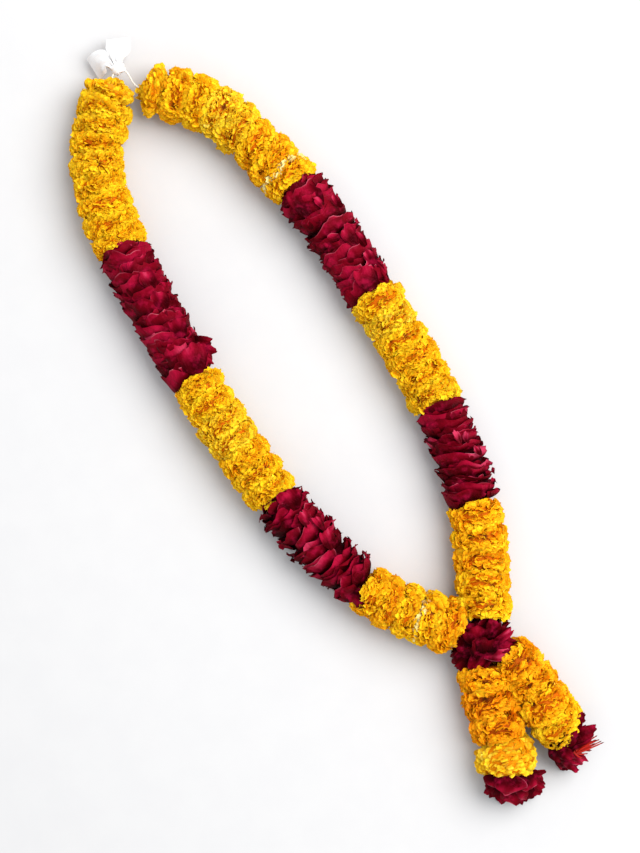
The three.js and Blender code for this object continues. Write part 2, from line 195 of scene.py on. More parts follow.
# A corner is on the rim of a solid's string hole when it lies this close to the string and to the plane
RIM_RADIUS = 2.4
RIM_DEPTH = 1.6


def fitted_plane(node, plane):
    """The plane at one end of a head's solid, tilted as the rim of its string hole is there."""
    from_centre = corners_of(node) - plane.centre
    offset = from_centre @ plane.along
    beside = np.linalg.norm(from_centre - offset[:, None] * plane.along, axis=1)
    rim = from_centre[(beside < RIM_RADIUS) & (np.abs(offset) < RIM_DEPTH)]
    if len(rim) < 3:
        return plane
    normal = np.linalg.svd(rim - rim.mean(0))[2][2]
    return CrossPlane(plane.centre, normal * math.copysign(1.0, normal @ plane.along))


def divide_beside(centre, side):
    """A point on the plane that parts the two strings near a flower, and the way towards the other string."""
    point, across = next((point, across) for above, point, across in DIVIDES if centre[1] - SHIFT[1] > above)
    return in_row_frame([*point, 0]), unit(side * np.array([*across, 0.0]))


# Meshes

def placed_object(name, data):
    made = bpy.data.objects.new(name, data)
    bpy.context.scene.collection.objects.link(made)
    return made


def grids_from(origins, *steps):
    """Grids of points, each from its origin by lengths along some ways."""
    grids = origins[:, None, None, :]
    for lengths, ways in steps:
        grids = grids + lengths[..., None] * ways[:, None, None, :]
    return grids


class Skin:
    """Collects grids of points and their values, and makes one mesh of them. No point goes lower than the
    gap above the surface."""

    def __init__(self, names=("grow", "tone", "side")):
        self.names = names
        self.points = []
        self.faces = []
        self.values = []
        self.count = 0

    def add_grids(self, grids, values, closed=False):
        """grids is (n, rows, columns, 3). values gives what fits (n, rows, columns) for each name."""
        shape = grids.shape[:3]
        index = self.count + np.arange(np.prod(shape)).reshape(shape)
        self.count += index.size
        if closed:
            index = np.concatenate([index, index[:, :, :1]], axis=2)
        quads = np.stack(
            [index[:, :-1, :-1], index[:, :-1, 1:], index[:, 1:, 1:], index[:, 1:, :-1]], axis=-1)
        points = grids.reshape(-1, 3).copy()
        points[:, 2] = np.maximum(points[:, 2], FLOOR_GAP)
        self.points.append(points)
        self.faces.append(quads.reshape(-1, 4))
        self.values.append(np.stack([np.broadcast_to(v, shape).ravel() for v in values], axis=-1))

    def mesh(self, name):
        points, faces, values = (np.vstack(rows) for rows in (self.points, self.faces, self.values))
        mesh = bpy.data.meshes.new(name)
        mesh.vertices.add(len(points))
        mesh.vertices.foreach_set("co", (points * MM).astype(np.float32).ravel())
        mesh.loops.add(faces.size)
        mesh.loops.foreach_set("vertex_index", faces.astype(np.int32).ravel())
        mesh.polygons.add(len(faces))
        mesh.polygons.foreach_set("loop_start", np.arange(0, faces.size, 4, dtype=np.int32))
        mesh.update(calc_edges=True)
        mesh.polygons.foreach_set("use_smooth", np.ones(len(faces), bool))
        for k, key in enumerate(self.names):
            attribute = mesh.attributes.new(key, "FLOAT", "POINT")
            attribute.data.foreach_set("value", values[:, k].astype(np.float32))
        mesh.validate()
        return mesh

    def piece(self, name, node, slot):
        made = placed_object(name, self.mesh(name))
        made.data.materials.append(MATERIALS[slot])
        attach(made, "root")
        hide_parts(node)
        return made


# Materials

class Finish:
    """A material with one shader, and short names for the nodes that feed it."""

    def __init__(self, name):
        self.material = bpy.data.materials.new(name)
        self.material.use_nodes = True
        self.tree = self.material.node_tree
        self.tree.nodes.clear()
        output = self.tree.nodes.new("ShaderNodeOutputMaterial")
        self.shader = self.tree.nodes.new("ShaderNodeBsdfPrincipled")
        self.tree.links.new(self.shader.outputs[0], output.inputs[0])

    def link(self, source, socket):
        if isinstance(source, bpy.types.NodeSocket):
            self.tree.links.new(source, socket)
        elif source is not None:
            socket.default_value = source

    def shaded(self, inputs):
        """The material, with its shader's inputs set or linked."""
        for name, source in inputs.items():
            self.link(source, self.shader.inputs[name])
        return self.material

    def value(self, name):
        node = self.tree.nodes.new("ShaderNodeAttribute")
        node.attribute_name = name
        return node.outputs["Fac"]

    def place(self):
        return self.tree.nodes.new("ShaderNodeTexCoord").outputs["Object"]

    def math(self, operation, first, second=None):
        node = self.tree.nodes.new("ShaderNodeMath")
        node.operation = operation
        self.link(first, node.inputs[0])
        self.link(second, node.inputs[1])
        return node.outputs[0]

    def add(self, first, second):
        return self.math("ADD", first, second)

    def times(self, first, second):
        return self.math("MULTIPLY", first, second)

    def combine(self, x, y, z):
        node = self.tree.nodes.new("ShaderNodeCombineXYZ")
        for source, socket in zip((x, y, z), node.inputs):
            self.link(source, socket)
        return node.outputs[0]

    def noise(self, scale, detail=3.0, roughness=0.55, vector=None):
        """Noise at the object's own places, or at another vector."""
        node = self.tree.nodes.new("ShaderNodeTexNoise")
        self.link(vector or self.place(), node.inputs["Vector"])
        for key, number in (("Scale", scale), ("Detail", detail), ("Roughness", roughness)):
            node.inputs[key].default_value = number
        return node.outputs["Fac"]

    def ramp(self, factor, *stops):
        """A ramp through stops, each a place and its colour or its share of white."""
        node = self.tree.nodes.new("ShaderNodeValToRGB")
        elements = node.color_ramp.elements
        node.color_ramp.interpolation = "EASE"
        while len(elements) < len(stops):
            elements.new(0.5)
        for element, (place, color) in zip(elements, stops):
            element.position = place
            element.color = (*(color if isinstance(color, tuple) else (color,) * 3), 1.0)
        self.link(factor, node.inputs[0])
        return node.outputs[0]

    def mix(self, factor, first, second, blend="MIX"):
        node = self.tree.nodes.new("ShaderNodeMix")
        node.data_type = "RGBA"
        node.blend_type = blend
        self.link(factor, node.inputs[0])
        for source, socket in ((first, node.inputs[6]), (second, node.inputs[7])):
            self.link((*source, 1.0) if isinstance(source, tuple) else source, socket)
        return node.outputs[2]

    def bump(self, height, strength, distance, normal=None):
        node = self.tree.nodes.new("ShaderNodeBump")
        for key, source in (("Strength", strength), ("Distance", distance), ("Height", height),
                            ("Normal", normal)):
            self.link(source, node.inputs[key])
        return node.outputs[0]


def marigold_material():
    """Golden florets: orange-brown roots, golden to lemon ends, fine ribs along each floret. The roots' ramp
    runs down to dark brown for the painted shade of the heads' cores, and the most orange heads get painted
    shade on their roots.
    """
    n = Finish("marigold_florets")
    grow, side = n.value("grow"), n.value("side")
    blotch = n.times(n.math("SUBTRACT", n.noise(260.0), 0.5), 0.14)
    tone = n.add(n.value("tone"), blotch)
    tips = n.ramp(
        tone, (0.00, (0.84, 0.270, 0.004)), (0.28, (0.95, 0.430, 0.006)), (0.50, (0.95, 0.560, 0.009)),
        (0.76, (0.92, 0.61, 0.022)), (0.90, (0.92, 0.69, 0.09)), (1.00, (0.92, 0.78, 0.30)))
    # The ramp's dark end, below where the florets' roots start, is reached only by the head's core: painted
    # shade
    roots = n.ramp(
        grow, (0.0, (0.08, 0.006, 0.001)), (0.20, (0.60, 0.150, 0.002)), (0.42, (0.92, 0.40, 0.004)),
        (1.0, (0.95, 0.54, 0.006)))
    # Painted shade: the roots of the most orange heads, most of them in the tassels, darker
    orange_root_shade = n.ramp(tone, (0.06, (0.58, 0.40, 0.50)), (0.34, (1.0, 1.0, 1.0)))
    outer = n.ramp(grow, (0.30, 0.0), (0.80, 1.0))
    ribs = n.times(n.math("SINE", n.times(side, 15.0)), 0.5)
    return n.shaded({
        "Base Color": n.mix(outer, n.mix(1.0, roots, orange_root_shade, "MULTIPLY"), tips),
        "Normal": n.bump(n.add(ribs, n.noise(900.0)), strength=0.22, distance=0.0004),
        "Roughness": n.ramp(n.noise(500.0), (0.3, 0.50), (0.7, 0.72)),
        "Specular IOR Level": 0.20,
        "Specular Tint": (1.0, 0.78, 0.20, 1.0),
        "Subsurface Weight": 0.60,
        "Subsurface Scale": 0.0025,
        "Subsurface Radius": (1.0, 1.0, 1.0),
    })


def rose_material():
    """Velvety crimson petals, magenta at the lightest tones, with fine veins from root to rim. Painted shade
    darkens their roots and the rims seen edge-on at the sides, and painted light lies in patches at random
    and along the rims on top.
    """
    n = Finish("rose_petals")
    grow, tone, side = n.value("grow"), n.value("tone"), n.value("side")
    body = n.ramp(
        tone, (0.0, (0.022, 0.0002, 0.0006)), (0.30, (0.062, 0.0005, 0.002)),
        (0.55, (0.150, 0.0010, 0.0065)), (0.80, (0.320, 0.0040, 0.026)), (1.0, (0.540, 0.040, 0.100)))
    rims = n.ramp(
        tone, (0.0, (0.030, 0.0006, 0.003)), (0.46, (0.16, 0.003, 0.014)), (0.62, (0.60, 0.11, 0.17)),
        (1.0, (0.90, 0.42, 0.46)))
    # Painted shade: each petal darker towards its root, where it lies under the petals before it
    deep = n.ramp(grow, (0.30, (0.20, 0.12, 0.10)), (0.90, (1.0, 1.0, 1.0)))
    veins = n.noise(1.0, 4.0, vector=n.combine(n.times(side, 26.0), n.times(grow, 3.0), tone))
    blotch = n.noise(110.0)
    color = n.mix(1.0, body, deep, "MULTIPLY")
    color = n.mix(n.ramp(veins, (0.42, 0.0), (0.75, 0.35)), color, (0.10, 0.001, 0.006))
    # Painted highlights: lighter, pinker patches at random where the noise is high
    color = n.mix(n.ramp(blotch, (0.48, 0.0), (0.75, 0.45)), color, (0.46, 0.006, 0.050))
    # Painted light along the rims on top: pale highlights on light petals, dark lines on dark ones
    color = n.mix(n.ramp(n.value("rim"), (0.0, 0.0), (1.0, 0.75)), color, rims)
    # Painted shade: near black along the rims seen edge-on at the sides
    color = n.mix(n.ramp(n.value("dark"), (0.0, 0.0), (1.0, 0.65)), color, (0.050, 0.0008, 0.005))
    crumple = n.bump(n.noise(150.0, 2.0, 0.5), strength=0.60, distance=0.0040)
    velvet = n.add(veins, n.times(n.noise(1400.0, 2.0), 0.25))
    satin = n.ramp(blotch, (0.3, 0.30), (0.7, 0.46))
    return n.shaded({
        "Base Color": color,
        "Normal": n.bump(velvet, strength=0.30, distance=0.0004, normal=crumple),
        "Roughness": n.mix(n.value("top"), (0.80, 0.80, 0.80), satin),
        "Specular IOR Level": 0.08,
        "Specular Tint": (1.0, 0.13, 0.26, 1.0),
    })


def filament_material():
    """Satin red filaments with dark tips."""
    n = Finish("rose_filaments")
    color = n.ramp(
        n.value("grow"), (0.0, (0.24, 0.003, 0.002)), (0.5, (0.42, 0.009, 0.004)),
        (0.86, (0.34, 0.006, 0.004)), (0.93, (0.10, 0.006, 0.006)), (1.0, (0.05, 0.004, 0.004)))
    speckle = n.noise(1800.0)
    return n.shaded({
        "Base Color": n.mix(n.ramp(speckle, (0.4, 0.0), (0.8, 0.3)), color, (0.60, 0.05, 0.01)),
        "Normal": n.bump(speckle, strength=0.3, distance=0.0002),
        "Roughness": n.ramp(speckle, (0.3, 0.40), (0.7, 0.58)),
        "Specular IOR Level": 0.15,
    })


def string_material():
    """Matt undyed cotton."""
    n = Finish("cotton_string")
    lint = n.noise(2600.0, 4.0)
    return n.shaded({
        "Base Color": n.ramp(lint, (0.25, (0.66, 0.64, 0.58)), (0.75, (0.86, 0.85, 0.80))),
        "Normal": n.bump(lint, strength=0.6, distance=0.0003),
        "Roughness": n.ramp(lint, (0.3, 0.80), (0.7, 0.95)),
    })


def ribbon_material():
    """White satin: ribs across the width, a faint sheen and slightly greyer threads."""
    n = Finish("satin_ribbon")
    run = n.value("grow")
    ribs = n.times(n.math("SINE", n.times(run, 420.0)), 0.5)
    threads = n.noise(1.0, vector=n.combine(n.times(n.value("side"), 60.0), n.times(run, 6.0), 0.0))
    return n.shaded({
        "Base Color": n.ramp(threads, (0.3, (0.80, 0.80, 0.81)), (0.7, (0.90, 0.90, 0.91))),
        "Normal": n.bump(n.add(ribs, threads), strength=0.25, distance=0.0003),
        "Roughness": n.ramp(threads, (0.3, 0.36), (0.7, 0.50)),
        "Sheen Weight": 0.25,
    })


def floor_material():
    n = Finish("pale_floor")
    grain = n.noise(30.0, 5.0)
    return n.shaded({
        "Base Color": n.ramp(grain, (0.3, (0.595, 0.594, 0.602)), (0.7, (0.607, 0.606, 0.612))),
        "Roughness": n.ramp(grain, (0.3, 0.75), (0.7, 0.85)),
        "Specular IOR Level": 0.2,
    })


MATERIALS = {
    "marigold": marigold_material(), "rose": rose_material(), "filament": filament_material(),
    "string": string_material(), "ribbon": ribbon_material(),
}


# Marigold heads

# A floret's rows from root to tip, and its columns across
FLORET_ROWS = np.array([0.30, 0.76, 1.0])[:, None]
FLORET_COLUMNS = np.array([-1.0, -0.70, -0.34, 0.0, 0.34, 0.70, 1.0])
FLORET_LENGTH = (7.5, 9.5)
GOLDEN_TURN = math.pi * (3 - math.sqrt(5))

# How much heads differ in radius, in tone, and in how square a pressed one's profile is
RADIUS_SPREAD = (-0.9, 1.3)
USUAL_TONE = (0.40, 0.56)
PRESSED_POWER = (3.2, 4.8)

# The waves of the border between two heads: how many go round the string, and how far each strays
BORDER_WAVES = ((1, 2.2), (2, 1.7), (5, 1.0))

# How high a head's lobes stand, how far past its limits florets may reach, by what share of the rest they
# are pressed back, and how far before the plane between the strings the limit there lies
LOBE_HEIGHT = 0.9
FREE_PAST = 3.8
PRESSED_BACK = 0.85
DIVIDE_GAP = 0.5

# Partings between florets on top: half their length and width, how deep they go, and how far below the tips
# their roots lie
PARTING_LENGTH = 6.5
PARTING_WIDTH = 1.8
PARTING_DEPTH = (2.2, 3.6)
PARTING_ROOT = 3.5

# A head's core: its share of the radius, its rings and sides, and how far it ends from the lower plane
CORE_SHARE = 0.82
CORE_RINGS = 13
CORE_SIDES = 36
CORE_GAP = 0.4

# Tones of heads that are more lemon (towards 1) or more orange (towards 0) than the rest, by stretch and
# number
STRETCH_TONES = {
    "left_marigold": {1: 0.56, 2: 0.52, 3: 0.54, 12: 0.64, 13: 0.66, 18: 0.36, 21: 0.32},
    "right_marigold": {
        2: 0.40, 4: 0.70, 5: 0.62, 7: 0.36, 9: 0.56, 10: 0.70, 15: 0.34, 16: 0.38, 17: 0.34, 18: 0.42,
        19: 0.48},
    "left_tassel_marigold": {1: 0.24, 2: 0.14, 3: 0.20, 4: 0.70},
    "right_tassel_marigold": {1: 0.24, 2: 0.26, 3: 0.34, 4: 0.52},
}

# How much further than others some heads reach over the roses below them
ROOM_AFTER = {
    "left_marigold_09": 4.0, "left_marigold_16": 3.0, "right_marigold_08": 4.0, "right_marigold_14": 3.0,
    "left_tassel_marigold_04": 1.5, "right_tassel_marigold_04": 1.5,
}

# How much wider than the rest some heads are
HEAD_GROWTH = {"left_marigold_21": 2.4, "right_marigold_19": 2.0}

# Heads that start with a band of pale florets on top, and the share of the head that it takes
PALE_BEFORE = {"right_marigold_08": 0.24, "left_marigold_20": 0.10}


def border_wave(seed, turn):
    """How far the border between two pressed heads strays from its plane, by the angle round the string."""
    phases = np.random.default_rng(seed).uniform(0, FULL_TURN, len(BORDER_WAVES))
    return sum(depth * np.sin(times * turn + phase) for (times, depth), phase in zip(BORDER_WAVES, phases))


def floret_grids(rng, root, out, across, length, half, frill, hollow, curl, blunt):
    """Frilled florets. out is the way that each grows, and across the way of its width."""
    v, u = FLORET_ROWS, FLORET_COLUMNS
    phase, second = rng.uniform(0, FULL_TURN, (2, len(root), 1, 1))
    waves = rng.uniform(1.0, 2.1, (len(root), 1, 1))
    bend = 0.6 * curl * v ** 2
    width = half * (0.22 + 0.78 * v ** 0.75) * (1 - 0.20 * smooth_step(0.6, 1.0, v))
    along = length * v * (1 - blunt * u ** 2 - 0.05 * np.abs(np.sin(1.5 * math.pi * u + second)) * v)
    lift = (along * np.sin(bend) + frill * v ** 1.6 * np.sin(math.pi * waves * u + phase)
            + hollow * v * (u ** 2 - 0.35))
    facing = unit(np.cross(out, across))
    return grids_from(root, (along * np.cos(bend), out), (width * u, across), (lift, facing))


class MarigoldHead:
    """A head of frilled florets on a dark core, pressed between two neighbours."""

    florets = 450
    radius = HEAD_RADIUS
    # How square its profile is from the side, where 2 is round. None is for one that is drawn
    power = None
    # The part of the radius that both faces keep bare, and the lower face alone
    bare_faces = 0.70
    bare_lower = 0.0
    # The numbers of partings that one is drawn from
    partings = [1, 2, 2, 3]
    # How far its florets stray outward, and how much higher they are beside the borders on top
    stray = 0.30
    crest = 2.6
    # Half a floret's width, and how much wider it is where florets are fewer
    half_width = (3.6, 5.1)
    widening = 1.0
    # How much of the usual frill florets have, how hollow they are, and how blunt they end
    frill = 1.0
    hollow = (-0.6, 1.4)
    blunt = 0.15
    # How much the head narrows towards its upper face, and how far florets may reach past that face
    narrowing = 0.0
    reach_past = 0.0
    # How much of its lower border's wave it follows
    lower_wave = 1.0
    # Where its core begins, and how light its painted shade is: the core, darker than the florets' roots,
    # stands for the shade in the gaps between them
    core_start = 0.02
    painted_core_shade = 0.17

    def __init__(self, name, number, planes, side):
        self.node = f"{name}_{number:02d}"
        self.rng = np.random.default_rng(sum(ord(c) * (7 + k) for k, c in enumerate(self.node)))
        self.start, self.end = (fitted_plane(self.node, plane) for plane in planes)
        self.length = np.linalg.norm(self.end.centre - self.start.centre)
        self.radius = self.radius + self.rng.uniform(*RADIUS_SPREAD) + HEAD_GROWTH.get(self.node, 0.0)
        self.power = self.power or self.rng.uniform(*PRESSED_POWER)
        self.tone = STRETCH_TONES[name].get(number, self.rng.uniform(*USUAL_TONE))
        border = sum(map(ord, name)) * 40 + number
        self.borders = (border, border + 1)
        point, way = divide_beside(self.start.centre, side)
        self.limits = [
            (self.start.centre - self.reach_past * self.start.along, -self.start.along),
            (self.end.centre + ROOM_AFTER.get(self.node, 0.0) * self.end.along, self.end.along),
            (point - DIVIDE_GAP * way, way)]

    def profile(self, part):
        """How wide the head is, as a part of its radius, at parts of the way from its upper plane."""
        return np.maximum(1 - np.abs(2 * part - 1) ** self.power, 0) ** (1 / self.power)

    def narrowed(self, part):
        return 1 - self.narrowing * (1 - smooth_step(0.0, 0.60, part))

    def plane_at(self, part):
        """Centre, way along, way across and way up at parts of the way between its two planes."""
        part = part[:, None]
        centre, along, across, upward = (
            a * (1 - part) + b * part for a, b in zip(self.start.parts(), self.end.parts()))
        return centre, unit(along), across, upward

    def places(self):
        """Parts along and out for florets spread evenly over the head's surface."""
        part = np.linspace(0.0, 1.0, 400)
        out = self.profile(part)
        kept = out >= self.bare_faces
        part, out = part[kept], out[kept]
        step = np.hypot(np.diff(part) * 0.8, np.diff(out)) * (out[1:] + out[:-1]) / 2
        area = np.concatenate([[0], np.cumsum(step)])
        wanted = (np.arange(self.florets) + 0.5) / self.florets * area[-1]
        part, out = np.interp(wanted, area, part), np.interp(wanted, area, out)
        kept = (part <= 0.5) | (out >= self.bare_lower)
        return part[kept], out[kept]

    def part_florets(self, tip, out, turn, along, radial):
        """Sinks the florets in a few thin partings on top. Returns all tips, and the partings' roots."""
        spots = np.flatnonzero((np.sin(turn) > 0.6) & (out > 0.8))
        number = self.rng.choice(self.partings) if self.partings else 0
        spots = self.rng.choice(spots, number, replace=False)
        roots = (tip - PARTING_ROOT * radial)[spots]
        tangent = np.cross(along, radial)
        for spot in spots:
            way = self.rng.uniform(0, math.pi)
            lengthwise = math.cos(way) * tangent[spot] + math.sin(way) * along[spot]
            from_spot = tip - tip[spot]
            down = (from_spot @ lengthwise)[:, None] * lengthwise
            gap = np.hypot(np.linalg.norm(down, axis=1) / PARTING_LENGTH,
                           np.linalg.norm(from_spot - down, axis=1) / PARTING_WIDTH)
            tip = tip - radial * np.where(gap < 1, self.rng.uniform(*PARTING_DEPTH), 0.0)[:, None]
        return tip, roots

    def add_florets(self, skin):
        """Adds the florets, and returns the roots of the partings between them."""
        rng = self.rng
        part, out = self.places()
        count = len(part)
        turn = np.arange(count) * GOLDEN_TURN + rng.uniform(0, 6.3) + rng.normal(0, 0.07, count)
        part = np.clip(part + rng.normal(0, 0.028, count), 0.01, 0.99)
        out = out * self.narrowed(part)
        centre, along, across, upward = self.plane_at(part)
        upper, lower = (border_wave(border, turn) for border in self.borders)
        centre = centre + along * (upper * (1 - part) + self.lower_wave * lower * part)[:, None]
        radial = unit(outward(turn, across, upward))

        # Florets crowd in lobes. On top they stand up beside the borders, and half hide them
        lobes = rng.uniform(0, FULL_TURN, 4)
        lump = 0.5 * np.sin(3 * turn + lobes[0] + 5 * part) + 0.5 * np.sin(5 * turn + lobes[1] - 7 * part)
        slope = 2 * part - 1
        reach = self.radius * out + LOBE_HEIGHT * lump + rng.normal(0, self.stray, count)
        reach = reach + self.crest * np.maximum(np.sin(turn), 0) * smooth_step(0.45, 0.95, np.abs(slope))
        tip = centre + reach[:, None] * radial

        # Each grows partly straight out from the string, and partly square to the head's surface
        lean = np.sign(slope) * np.abs(slope) ** (self.power - 1) * self.radius / (0.5 * self.length)
        normal = unit(radial * np.maximum(out, 0.05)[:, None] ** (self.power - 1) + along * lean[:, None])
        growing = unit(0.62 * (normal + radial) + rng.normal(0, 0.27, (count, 3)))
        tip, roots = self.part_florets(tip, out, turn, along, radial)

        # Most florets beside the outline turn their width to the viewer
        turned = smooth_step(0.40, 0.85, np.abs(np.cos(turn))) * (rng.uniform(0, 1, count) < 0.8)
        twist = rng.normal(0, 0.30, count) + 0.5 * math.pi * turned
        tangent = np.cross(along, radial)
        flat = unit(tangent - (tangent * growing).sum(1, keepdims=True) * growing)
        width_way = outward(twist, flat, np.cross(growing, flat))

        each = (count, 1, 1)
        length = rng.uniform(*FLORET_LENGTH, each) * self.radius / HEAD_RADIUS
        half = rng.uniform(*self.half_width, each) * self.widening
        curl = 0.7 * slope[:, None, None] + rng.normal(0, 0.32, each)
        frill = rng.uniform(0.50, 1.10, each) * self.frill
        hollow = rng.uniform(*self.hollow, each)
        grids = floret_grids(
            rng, tip - growing * length[:, 0], growing, width_way, length, half, frill, hollow, curl,
            self.blunt)
        for point, way in self.limits:
            past = np.maximum((grids - point) @ way - FREE_PAST, 0)
            grids = grids - (past * PRESSED_BACK)[..., None] * way

        tone = np.clip(self.tone + 0.05 * lump + rng.normal(0, 0.05, count), 0.02, 0.88)
        pale = (part < PALE_BEFORE.get(self.node, 0.0)) & (np.sin(turn) > 0.15)
        tone = np.where(pale, 1.0, tone)
        skin.add_grids(grids, (FLORET_ROWS, tone[:, None, None], FLORET_COLUMNS))
        return roots

    def add_core(self, skin, partings):
        """Adds the core that the florets stand on, in painted shade that goes near black only in the
        partings.
        """
        parts = np.linspace(self.core_start, 0.98, CORE_RINGS)
        centre, _, across, upward = self.plane_at(parts)
        wide = CORE_SHARE * self.radius * self.narrowed(parts) * self.profile(parts)
        middle = rings(centre, wide, across, upward, CORE_SIDES)
        first = self.start.centre + self.core_start * self.length * self.start.along
        last = self.end.centre - CORE_GAP * self.end.along
        core = np.vstack([np.tile(first, (1, CORE_SIDES, 1)), middle, np.tile(last, (1, CORE_SIDES, 1))])
        core[..., 2] = np.maximum(core[..., 2], 2 * FLOOR_GAP)
        shade = np.full(core.shape[:2], self.painted_core_shade)
        # Painted shade: the core goes near black round the root of each parting between florets
        for root in partings:
            gap = np.linalg.norm(core - root, axis=-1)
            shade = np.minimum(shade, 0.02 + 0.15 * smooth_step(2.0, 4.0, gap))
        skin.add_grids(core[None], (shade, self.tone - 0.1, 0.0), closed=True)

    def add_piece(self):
        skin = Skin()
        partings = self.add_florets(skin)
        self.add_core(skin, partings)
        skin.piece(f"florets_{self.node}", self.node, "marigold")


class CoarseHead(MarigoldHead):
    """A head low on the garland, with fewer and wider florets and more partings."""

    florets = 350
    widening = (MarigoldHead.florets / florets) ** 0.6
    partings = [3, 4, 5]


class OpenHead(MarigoldHead):
    """A head with a free face, closed by narrower and straighter florets."""

    bare_faces = 0.12
    partings = []
    stray = 0.45
    crest = 0.0
    half_width = (3.4, 4.5)
    frill = 0.4
    hollow = (0.4, 1.4)
    blunt = 0.30
    painted_core_shade = 0.30


class NeckHead(OpenHead):
    """The first head of a strand, domed at its upper face."""

    florets = 540
    power = 2.1
    narrowing = 0.34
    reach_past = 3.0
    core_start = 0.24


class LastHead(OpenHead):
    """The large last head of the left tassel. The end rose covers the middle of its lower face."""

    florets = 680
    radius = LAST_HEAD_RADIUS
    power = 2.5
    bare_lower = 0.86
    lower_wave = 0.3


def add_heads(name, first, planes, side, last):
    """The heads between each two neighbouring planes, numbered on from the first."""
    coarse = "tassel" in name or first > 14
    for number, ends in enumerate(zip(planes, planes[1:]), first):
        at_neck = number == 1 and "tassel" not in name
        kind = LastHead if last else NeckHead if at_neck else CoarseHead if coarse else MarigoldHead
        kind(name, number, ends, side).add_piece()


# Roses

# A petal's rows from root to rim, its columns across, and the values that its points carry
PETAL_ROWS = np.array([0.0, 0.14, 0.28, 0.42, 0.54, 0.65, 0.74, 0.82, 0.88, 0.93, 0.97, 1.0])[:, None]
HALF_COLUMNS = [0.17, 0.34, 0.50, 0.64, 0.77, 0.88, 0.96, 1.0]
PETAL_COLUMNS = np.array([-place for place in reversed(HALF_COLUMNS)] + [0.0] + HALF_COLUMNS)
PETAL_VALUES = ("grow", "tone", "side", "rim", "dark", "top")


def petal_spread(grown, narrowest, full):
    """A petal's width as a share of its widest, which it reaches at the part of its length given as full."""
    return narrowest + (1 - narrowest) * np.sin(math.pi / 2 * np.minimum(grown / full, 1.0)) ** 0.9


def petal_rim():
    """1 along a petal's rim and 0 inside it."""
    return np.maximum(smooth_step(0.955, 1.0, PETAL_ROWS), smooth_step(0.94, 1.0, np.abs(PETAL_COLUMNS)))


def painted_petal_light(grown):
    """Painted light and shade on a petal: lighter towards the bulging middle of its outer part as a
    highlight, darker towards its root and sides.
    """
    return smooth_step(0.35, 0.85, grown) * (1 - PETAL_COLUMNS ** 2) - 0.35


def petal_places(rng, petals):
    """Places round the string of each petal's grid: how far along, at which angle, how far out."""
    n = len(petals["along"])
    p = SimpleNamespace(**{key: np.reshape(value, (-1, 1, 1)) for key, value in petals.items()})
    v, u = PETAL_ROWS, PETAL_COLUMNS
    phase, second, third, fourth = rng.uniform(0, FULL_TURN, (4, n, 1, 1))

    # The outline: rounded and a little uneven, with a tip on either side
    left = rng.uniform(-0.75, 0.05, (n, 1, 1))
    right = rng.uniform(0.15, 0.8, (n, 1, 1))
    # How strong each petal's painted rim highlight is, uneven along its rim
    rim_highlight_share = smooth_step(0.25, 0.75, rng.random((n, 1, 1))) * (0.6 + 0.4 * np.sin(4.0 * u + 9.0 * left))
    tips = np.exp(-((u - left) / 0.26) ** 2) + 0.8 * np.exp(-((u - right) / 0.20) ** 2)
    grown = v * (1 - p.round * np.abs(u) ** 3.0 + 0.035 * np.sin(4.1 * u + third)
                 + 0.025 * np.sin(9.0 * u + fourth) + 0.05 * tips)
    angle = p.turn + p.half * u * petal_spread(grown, 0.38, 0.68) + p.skew * grown

    # The relief: ruffles and a curl at the rim, folds and a bulge all the way
    ruffle = np.sin(p.waves * math.pi * u + phase)
    frill = np.sin(p.waves * 2.3 * math.pi * u + second)
    fold = np.abs(np.sin(p.waves * 1.4 * math.pi * u + fourth)) - 0.6
    bulge = (1 - u ** 2) * np.sin(math.pi * np.clip((grown - 0.35) / 0.65, 0, 1))
    strength = grown ** 3
    curl = smooth_step(0.78, 1.0, grown)
    sideways = smooth_step(0.62, 0.92, np.abs(np.cos(angle)))
    out = (p.root + (p.rim - p.root) * grown ** p.rise - p.cup * u ** 2 * grown
           + 0.45 * p.ruffle * frill * strength + p.fold * fold * grown + p.bulge * bulge)
    along = (p.along - p.lean * grown ** p.bow + p.ruffle * ruffle * strength
             + p.back * curl ** 2 * (0.3 + tips) - 9.0 * p.skew * u * grown
             + p.shear * out * np.cos(angle) * grown)
    out = out + p.flare * curl * (0.15 + 1.1 * tips * sideways)

    tone = p.tone + 0.22 * painted_petal_light(grown) + 0.10 * np.sin(3.0 * u + 4.0 * grown + third)
    # Painted light: petals on the side towards the key light a little lighter, those on the far side a little
    # darker
    tone = np.clip(tone + 0.05 * np.cos(angle), 0.0, 1.0)
    # Painted highlight along the rim, on top only, not at the sides
    rim = petal_rim() * rim_highlight_share * smooth_step(0.3, 0.6, grown) * (1 - sideways)
    # Painted shade along the rims seen edge-on at the sides, strongest at the tips
    dark = sideways * smooth_step(0.90, 1.0, v) * (0.25 + 0.75 * np.minimum(tips, 1))
    top = 1 - smooth_step(0.40, 0.85, np.abs(np.cos(angle)))
    return along, angle, out, (grown, tone, u, rim, dark, top)


